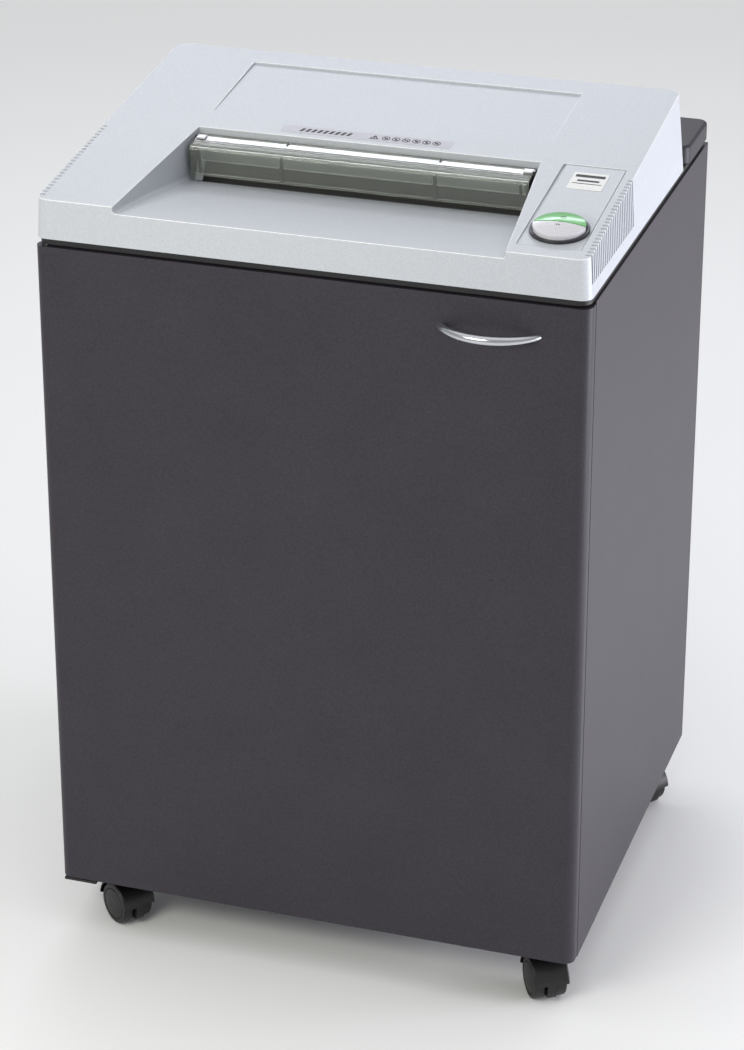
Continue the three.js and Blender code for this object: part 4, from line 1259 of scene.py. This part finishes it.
axis_up = flap_z - cover_foot
BARREL = 5.2
barrel_arc = [
    (flap_y + BARREL * math.cos(a), axis_up + BARREL * math.sin(a))
    for a in [math.radians(160 + 200 * i / 14) for i in range(15)]
]
LEDGE = [
    (196.4, 61), (180, 59.6), (179.6, 59.0), (178.4, 59.0), (178, 59.4), (170, 58.4), (167.2, 57.6),
    (165.2, 56.5), (163.8, 55.2), (FLAP_FRONT, 53.2), (FLAP_FRONT + FLAP_LEAN, FLAP_FOOT),
]
UNDERSIDE = [
    (FLAP_FRONT + FLAP_LEAN + 2.6, FLAP_FOOT), (165.7, 53.0), (166.4, 54.4), (168.5, 55.4), (180, 56.8),
]
DIVIDERS = (-84, 84)


def flap_moulding():
    """Ledge, face and barrel as one section. The face is split at the dividers, and each pane is sunk."""
    section = LEDGE + UNDERSIDE + barrel_arc + [(198, 58.6), (197.5, 60.3)]
    piece = profile_bar("feed_guard", section, -FLAP_HALF, FLAP_HALF)
    edit(piece)
    for x in DIVIDERS:
        bpy.ops.mesh.select_all(action="SELECT")
        bpy.ops.mesh.bisect(plane_co=at(x, 0, 0), plane_no=(1, 0, 0))
    panes = pick(piece, "FACE", lambda f: f.normal.y < -0.95 and f.calc_area() > 0.001)
    bpy.ops.mesh.inset(thickness=2.4 * MM, depth=0, use_individual=True)
    bpy.ops.mesh.inset(thickness=0.5 * MM, depth=-0.8 * MM, use_individual=True)
    close_edit()
    print("panes", panes)
    cut(piece, end_to_end("bore", 3.0, FLAP_HALF + 9))
    for x in DIVIDERS:
        low, high = at(x - 1.3, flap_y - 7, flap_z - 9), at(x + 1.3, flap_y + 9, flap_z + 9)
        cut(piece, block("notch", low, high))
    return piece


flap = flap_moulding()
print("flap spans", [round(v / MM, 1) for v in flap.dimensions])
finish_piece(flap, "flap", smoked_acrylic, ["feed_flap"])

# %% [markdown]
# Black struts stiffen the guard from behind: one at each divider and two near each end. The
# outermost is a web that ties the face to the ledge. A small pale stop sits on each end of the
# ledge. All of them are short lengths of a flat section, so the tool that drew the guard draws
# these as well.

# %% Struts and stops
STRUT = [(165.95, 52.4), (169.6, 52.8), (173.8, 24.6), (170.8, 24.6)]
WEB = [(166.0, 52.4), (168.8, 55.2), (180, 56.6), (187, 57.2), (187, 50), (174.5, 24.6), (170.8, 24.6)]
STOP = [(182, 59.85), (190, 60.5), (190, 62.3), (182, 61.7)]


def at_ends(name, points, outer, inner):
    """One length of a section at each end of the flap, between two distances in from the end."""
    pair = []
    for side in (-1, 1):
        x0, x1 = sorted((side * (FLAP_HALF - outer), side * (FLAP_HALF - inner)))
        pair.append(profile_bar(name, points, x0, x1))
    return pair


struts = [profile_bar("strut", STRUT, x - 1.1, x + 1.1) for x in (-176, *DIVIDERS, 176)]
struts += at_ends("web", WEB, 0.3, 2.7)
finish_piece(gather("flap_struts", struts), "flap", black_abs)
stops = at_ends("stop", STOP, 0.8, 10.5)
for stop in stops:
    round_edges(stop, 0.5, 2, sharp)
finish_piece(gather("flap_stops", stops), "flap", pearl_white)

# %% [markdown]
# The dark of the paper throat is painted shade: thin black strips stand in for the shade under
# and behind the flap. Painting the cover's own faces black would leave a ragged edge where they
# meet the silver, so each side of the liner is a strip of its own that follows the cover's lip and
# runs down into the slot.

# %% Throat liner of painted shade
SHADE_LINER_HALF = 180.5
FRONT_SHADE_LINER = [
    (173, 15.5), (175.1, 13.9), (176.05, 12), (176.05, -5),
    (176.85, -5), (176.85, 12.3), (175.7, 14.6), (173.3, 16.3),
]
BACK_SHADE_LINER = [
    (186.0, -5), (186.0, 7.9), (190.9, 13.9), (195.9, 20.9), (200.5, 29.2),
    (199.8, 29.6), (195.2, 21.3), (190.2, 14.4), (185.2, 8.3), (185.2, -5),
]
shade_liners = [profile_bar("shade_liner", points, -SHADE_LINER_HALF, SHADE_LINER_HALF) for points in (FRONT_SHADE_LINER, BACK_SHADE_LINER)]
finish_piece(gather("throat_shade_liner", shade_liners), "cabinet", black_abs)

# %% [markdown]
# The flap turns on a polished steel rod, which sits in a small black bush at each end. Both are
# turned parts, so each is a round bar with its sharp edges eased, and the bush has a hole cut
# through it.

# %% Flap shaft and bushes
shaft_low, shaft_high = reach("flap_shaft")
shaft = bar("flap_rod", 2.45, at(shaft_low.x, flap_y, flap_z), at(shaft_high.x, flap_y, flap_z))
round_edges(shaft, 0.4, 2, sharp)
finish_piece(shaft, "cabinet", satin_chrome, ["flap_shaft"])
for side, tag in ((-1, "left"), (1, "right")):
    start = side * (FLAP_HALF + 0.5)
    end = start + side * 4
    bush = bar(f"flap_bush_{tag}", 4.2, at(start, flap_y, flap_z), at(end, flap_y, flap_z), 24)
    cut(bush, bar("bore", 2.6, at(start - 9, flap_y, flap_z), at(start + 9, flap_y, flap_z), 24))
    round_edges(bush, 0.4, 2, sharp)
    finish_piece(bush, "cabinet", black_abs)

# %% [markdown]
# ## Casters
# Each caster is a nylon moulding: two wheels on one axle, under a hood that carries the stem. One
# hood and one wheel are made in the caster's own frame, with the stem over the origin, and copies
# are turned to the way that each caster points. The hood is one drum hollowed from both sides,
# which leaves the web between the wheels; a shell with Solidify would have to be joined to that web
# afterwards.

# %% Hood and wheel
TRAIL = 16
WHEEL_RADIUS = 24
WHEEL_WIDTH = 14
WHEEL_SPACING = 26
CASTER_HEIGHT = 64
WHEEL_RINGS = ((2.4, 0), (1.0, -0.9), (1.0, 0.9), (6.0, 0.7), (5.0, 0.4))  # tread edge to cap
axle_z = next(j for j in frame["joints"] if j["name"].endswith("wheel_inner_spin"))["pos_m"][2] / MM
web_half = (WHEEL_SPACING - WHEEL_WIDTH) / 2 - 0.7


def caster_hood():
    inside = WHEEL_RADIUS + 1.5
    outside = inside + 2.5
    wide = WHEEL_SPACING / 2 + WHEEL_WIDTH / 2
    piece = bar("hood", outside, spot(-wide, TRAIL, axle_z), spot(wide, TRAIL, axle_z), 64)
    round_edges(piece, 2.2, 4, sharp)
    neck = bar("neck", 9, spot(0, 0, axle_z + 2), spot(0, 0, CASTER_HEIGHT - 2), 40)
    weld(piece, neck)
    for side in (-1, 1):
        start, end = spot(side * web_half, TRAIL, axle_z), spot(side * (wide + 9), TRAIL, axle_z)
        cut(piece, bar("well", inside, start, end, 64))
    cut(piece, block("below", spot(-50, -100, -50), spot(50, 100, axle_z * 0.45)))
    for side in (-1, 1):
        x0, x1 = sorted((side * web_half, side * 60))
        cut(piece, block("skirt", spot(x0, -100, -50), spot(x1, 100, axle_z + 3)))
    stem = bar("stem", 5, spot(0, 0, CASTER_HEIGHT - 3), spot(0, 0, CASTER_HEIGHT + 15), 24)
    axle_half = WHEEL_SPACING / 2 + 4
    axle = bar("axle", 4, spot(-axle_half, TRAIL, axle_z), spot(axle_half, TRAIL, axle_z), 24)
    weld(piece, stem, axle)
    round_edges(piece, 0.4, 2, lambda e: e.calc_face_angle(0) > 1.2)
    return piece


def caster_wheel():
    """The wheel on the +X side of the web: its outer face is a shallow dish with a round cap."""
    start = spot(WHEEL_SPACING / 2 - WHEEL_WIDTH / 2, TRAIL, axle_z)
    end = spot(WHEEL_SPACING / 2 + WHEEL_WIDTH / 2 - 1.5, TRAIL, axle_z)
    piece = bar("wheel", axle_z, start, end, 64)
    round_edges(piece, 2.0, 4, sharp)
    edit(piece)
    pick(piece, "FACE", lambda f: f.normal.x > 0.99)
    for inwards, outwards in WHEEL_RINGS:
        bpy.ops.mesh.inset(thickness=inwards * MM, depth=outwards * MM)
    close_edit()
    bore = bar("bore", 4.6, start - spot(5, 0, 0), start + spot(WHEEL_WIDTH - 3, 0, 0), 24)
    return cut(piece, bore)


hood_master = caster_hood()
smooth(hood_master)
wheel_master = caster_wheel()
smooth(wheel_master)
print("hood", len(hood_master.data.polygons), "wheel", len(wheel_master.data.polygons), "faces")

# %% [markdown]
# Each caster swivels to a way of its own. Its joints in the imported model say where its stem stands
# and which way its axle points, so the masters are copied there, and the inner wheel is the mirror
# of the outer one.

# %% Place the four casters
def body_place(corner):
    """Where a caster's own frame stands: over its stem, turned to its axle."""
    swivel = next(j for j in frame["joints"] if j["name"] == f"caster_{corner}_swivel")
    spin = next(j for j in frame["joints"] if j["name"] == f"caster_{corner}_wheel_outer_spin")
    x, y = swivel["pos_m"][:2]
    turn = math.atan2(spin["axis"][1], spin["axis"][0])
    return Matrix.Translation((x, y, 0)) @ Matrix.Rotation(turn, 4, "Z")


for corner in ("front_left", "front_right", "rear_left", "rear_right"):
    place = body_place(corner)
    hood = copy_of(hood_master, f"hood_{corner}", place)
    finish_piece(hood, f"caster_{corner}", black_nylon, [f"caster_{corner}_hood"])
    outer = copy_of(wheel_master, f"wheel_outer_{corner}", place)
    inner = copy_of(wheel_master, f"wheel_inner_{corner}", place @ MIRROR_ACROSS)
    for wheel, which in ((outer, "outer"), (inner, "inner")):
        node = f"caster_{corner}_wheel_{which}"
        finish_piece(wheel, node, black_nylon, [node])
bpy.data.objects.remove(hood_master)
bpy.data.objects.remove(wheel_master)

# %% [markdown]
# ## Shred bin
# The bin is a large open polypropylene moulding with round corners, a turned-over rim and a hand
# hole in its front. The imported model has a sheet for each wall; this is the one moulding that they
# stand for. An open box with Solidify would do for the walls. Here the top of one block is inset
# and sunk, which gives the floor its own thickness at the same time; then a rim goes round it, and
# the hole is cut.

# %% Shred bin
BIN_SHEETS = ["bin_floor", "bin_left", "bin_right", "bin_front", "bin_back"]
bin_corners = [reach(sheet) for sheet in BIN_SHEETS]
bin_low = Vector([min(low[i] for low, _ in bin_corners) for i in range(3)])
bin_high = Vector([max(high[i] for _, high in bin_corners) for i in range(3)])
BIN_RIM = 9
BIN_WALL = 2.8


def shred_bin():
    low, high = bin_low, bin_high
    inner_low = Vector((low.x + BIN_RIM, low.y + BIN_RIM, low.z))
    inner_high = Vector((high.x - BIN_RIM, high.y - BIN_RIM, high.z))
    piece = block("waste_bin", at(*inner_low), at(*inner_high))
    round_edges(piece, 26, 8, upright)
    foot = at(*inner_low).z
    round_edges(piece, 8, 4, lambda e: abs(middle(e).z - foot) < 1e-5)
    edit(piece)
    pick(piece, "FACE", lambda f: f.normal.z > 0.99)
    bpy.ops.mesh.inset(thickness=BIN_WALL * MM, depth=0)
    sink = -(inner_high.z - inner_low.z - 3) * MM
    bpy.ops.mesh.extrude_region_move(TRANSFORM_OT_translate={"value": (0, 0, sink)})
    close_edit()
    lip = block("lip", at(low.x, low.y, high.z - 3), at(*high))
    round_edges(lip, 30, 8, upright)
    hole = block(
        "hole",
        at(inner_low.x + BIN_WALL, inner_low.y + BIN_WALL, low.z + 50),
        at(inner_high.x - BIN_WALL, inner_high.y - BIN_WALL, high.z + 20),
    )
    round_edges(hole, 23, 8, upright)
    cut(lip, hole)
    weld(piece, lip)
    grip = block("grip", at(-60, low.y - 20, high.z - 94), at(60, low.y + 40, high.z - 60))
    round_edges(grip, 16, 8, lambda e: runs_along(e, 1))
    cut(piece, grip)
    near_top = at(0, 0, high.z - 4).z
    round_edges(piece, 0.8, 2, lambda e: e.calc_face_angle(0) > 1.2 and middle(e).z > near_top)
    return piece


waste_bin = shred_bin()
print("bin spans", [round(v / MM) for v in waste_bin.dimensions])
finish_piece(waste_bin, "cabinet", bin_plastic, BIN_SHEETS)

# %% [markdown]
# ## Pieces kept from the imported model
# The pieces inside the cabinet have the right shape already. They could be modelled again, but
# nothing would be gained where they are hardly seen. Each keeps its mesh and gets the finish of
# what it is made of. A small live bevel, after a weld of its loose triangles, eases the sharp
# edges.

# %% Finishes for the kept pieces
KEPT = {
    black_enamel: ["bottom_pivot_bracket"],
    anthracite_melamine: ["back_panel", "floor_panel", "deck_panel", "front_rail"],
    black_abs: ["base_frame", "door_catch", "mains_inlet"],
    ground_steel: [
        "top_pivot_pin", "stripper_front", "stripper_rear", "bearing_front_left", "bearing_front_right",
        "bearing_rear_left", "bearing_rear_right", "tie_bar_front", "tie_bar_rear", "throat_guide",
        "sync_gear_rear", "sync_gear_front", "drive_gear", "lay_axle", "motor_shaft",
    ],
    oiled_steel: ["cutter_front", "cutter_rear", "cutter_plate_left", "cutter_plate_right", "motor_housing"],
    gear_nylon: ["lay_gear"],
    solder_mask: ["control_board"],
}
for material, names in KEPT.items():
    for name in names:
        kept = frame["nodes"][name]
        kept.data.materials.clear()
        kept.data.materials.append(material)
        joined = kept.modifiers.new("Weld", "WELD")
        joined.merge_threshold = 0.01 * MM
        eased = kept.modifiers.new("Ease", "BEVEL")
        eased.width = 0.4 * MM
        eased.segments = 1
        eased.limit_method = "ANGLE"
        eased.angle_limit = math.radians(40)
print("finished", sum(len(names) for names in KEPT.values()), "kept pieces")

# %% [markdown]
# ## Stage and light
# A plain pale floor, a dim pale sky, and large soft lights, as in a product studio: a wide ceiling
# panel that keeps the floor pale, one above and behind that draws the bright line on the flap, one
# from the left front, and a low one on the right for the side board. A sky picture would light it
# too, but four lamps can each be moved until their highlight falls where it should.

# %% Floor and sky
deselect_everything()
bpy.ops.mesh.primitive_plane_add(size=16, location=(0, 3, -0.0005))
floor = bpy.context.object
floor.name = "studio_floor"
floor_paint, floor_tree, _ = start_material("studio_floor")
floor_shader = add_node(
    floor_tree, "ShaderNodeBsdfPrincipled", {"Base Color": linear("#fbfbfb"), "Roughness": 0.9}
)
close_material(floor_tree, floor_shader)
floor.data.materials.append(floor_paint)

world = bpy.data.worlds.new("studio")
bpy.context.scene.world = world
world.use_nodes = True
world.node_tree.nodes["Background"].inputs["Color"].default_value = linear("#f6f7f9")
world.node_tree.nodes["Background"].inputs["Strength"].default_value = 0.48
print("stage ready")

# %% Lights
def soft_light(name, place, target, width, height, power, colour):
    data = bpy.data.lights.new(name, "AREA")
    data.shape = "RECTANGLE"
    data.size = width
    data.size_y = height
    data.energy = power
    data.color = linear(colour)[:3]
    lamp = bpy.data.objects.new(name, data)
    bpy.context.scene.collection.objects.link(lamp)
    lamp.location = place
    lamp.visible_camera = False
    lamp.rotation_euler = (Vector(target) - Vector(place)).to_track_quat("-Z", "Y").to_euler()
    return lamp


soft_light("ceiling_light", (0, 1.0, 5.0), (0, 1.0, 0), 10.0, 10.0, 150, "#ffffff")
soft_light("rear_light", (-0.72, 2.09, 2.15), (0, -0.09, 0.889), 1.6, 0.24, 10, "#eef2ff")
soft_light("front_light", (-0.5, -1.75, 1.42), (0, -0.28, 0.9), 1.0, 0.5, 15, "#fffef2")
soft_light("right_light", (2.5, 0.3, 0.5), (0.3, 0, 0.45), 1.5, 0.8, 46, "#f6f6ff")
bpy.context.scene.view_settings.view_transform = "Standard"
print("lights ready")
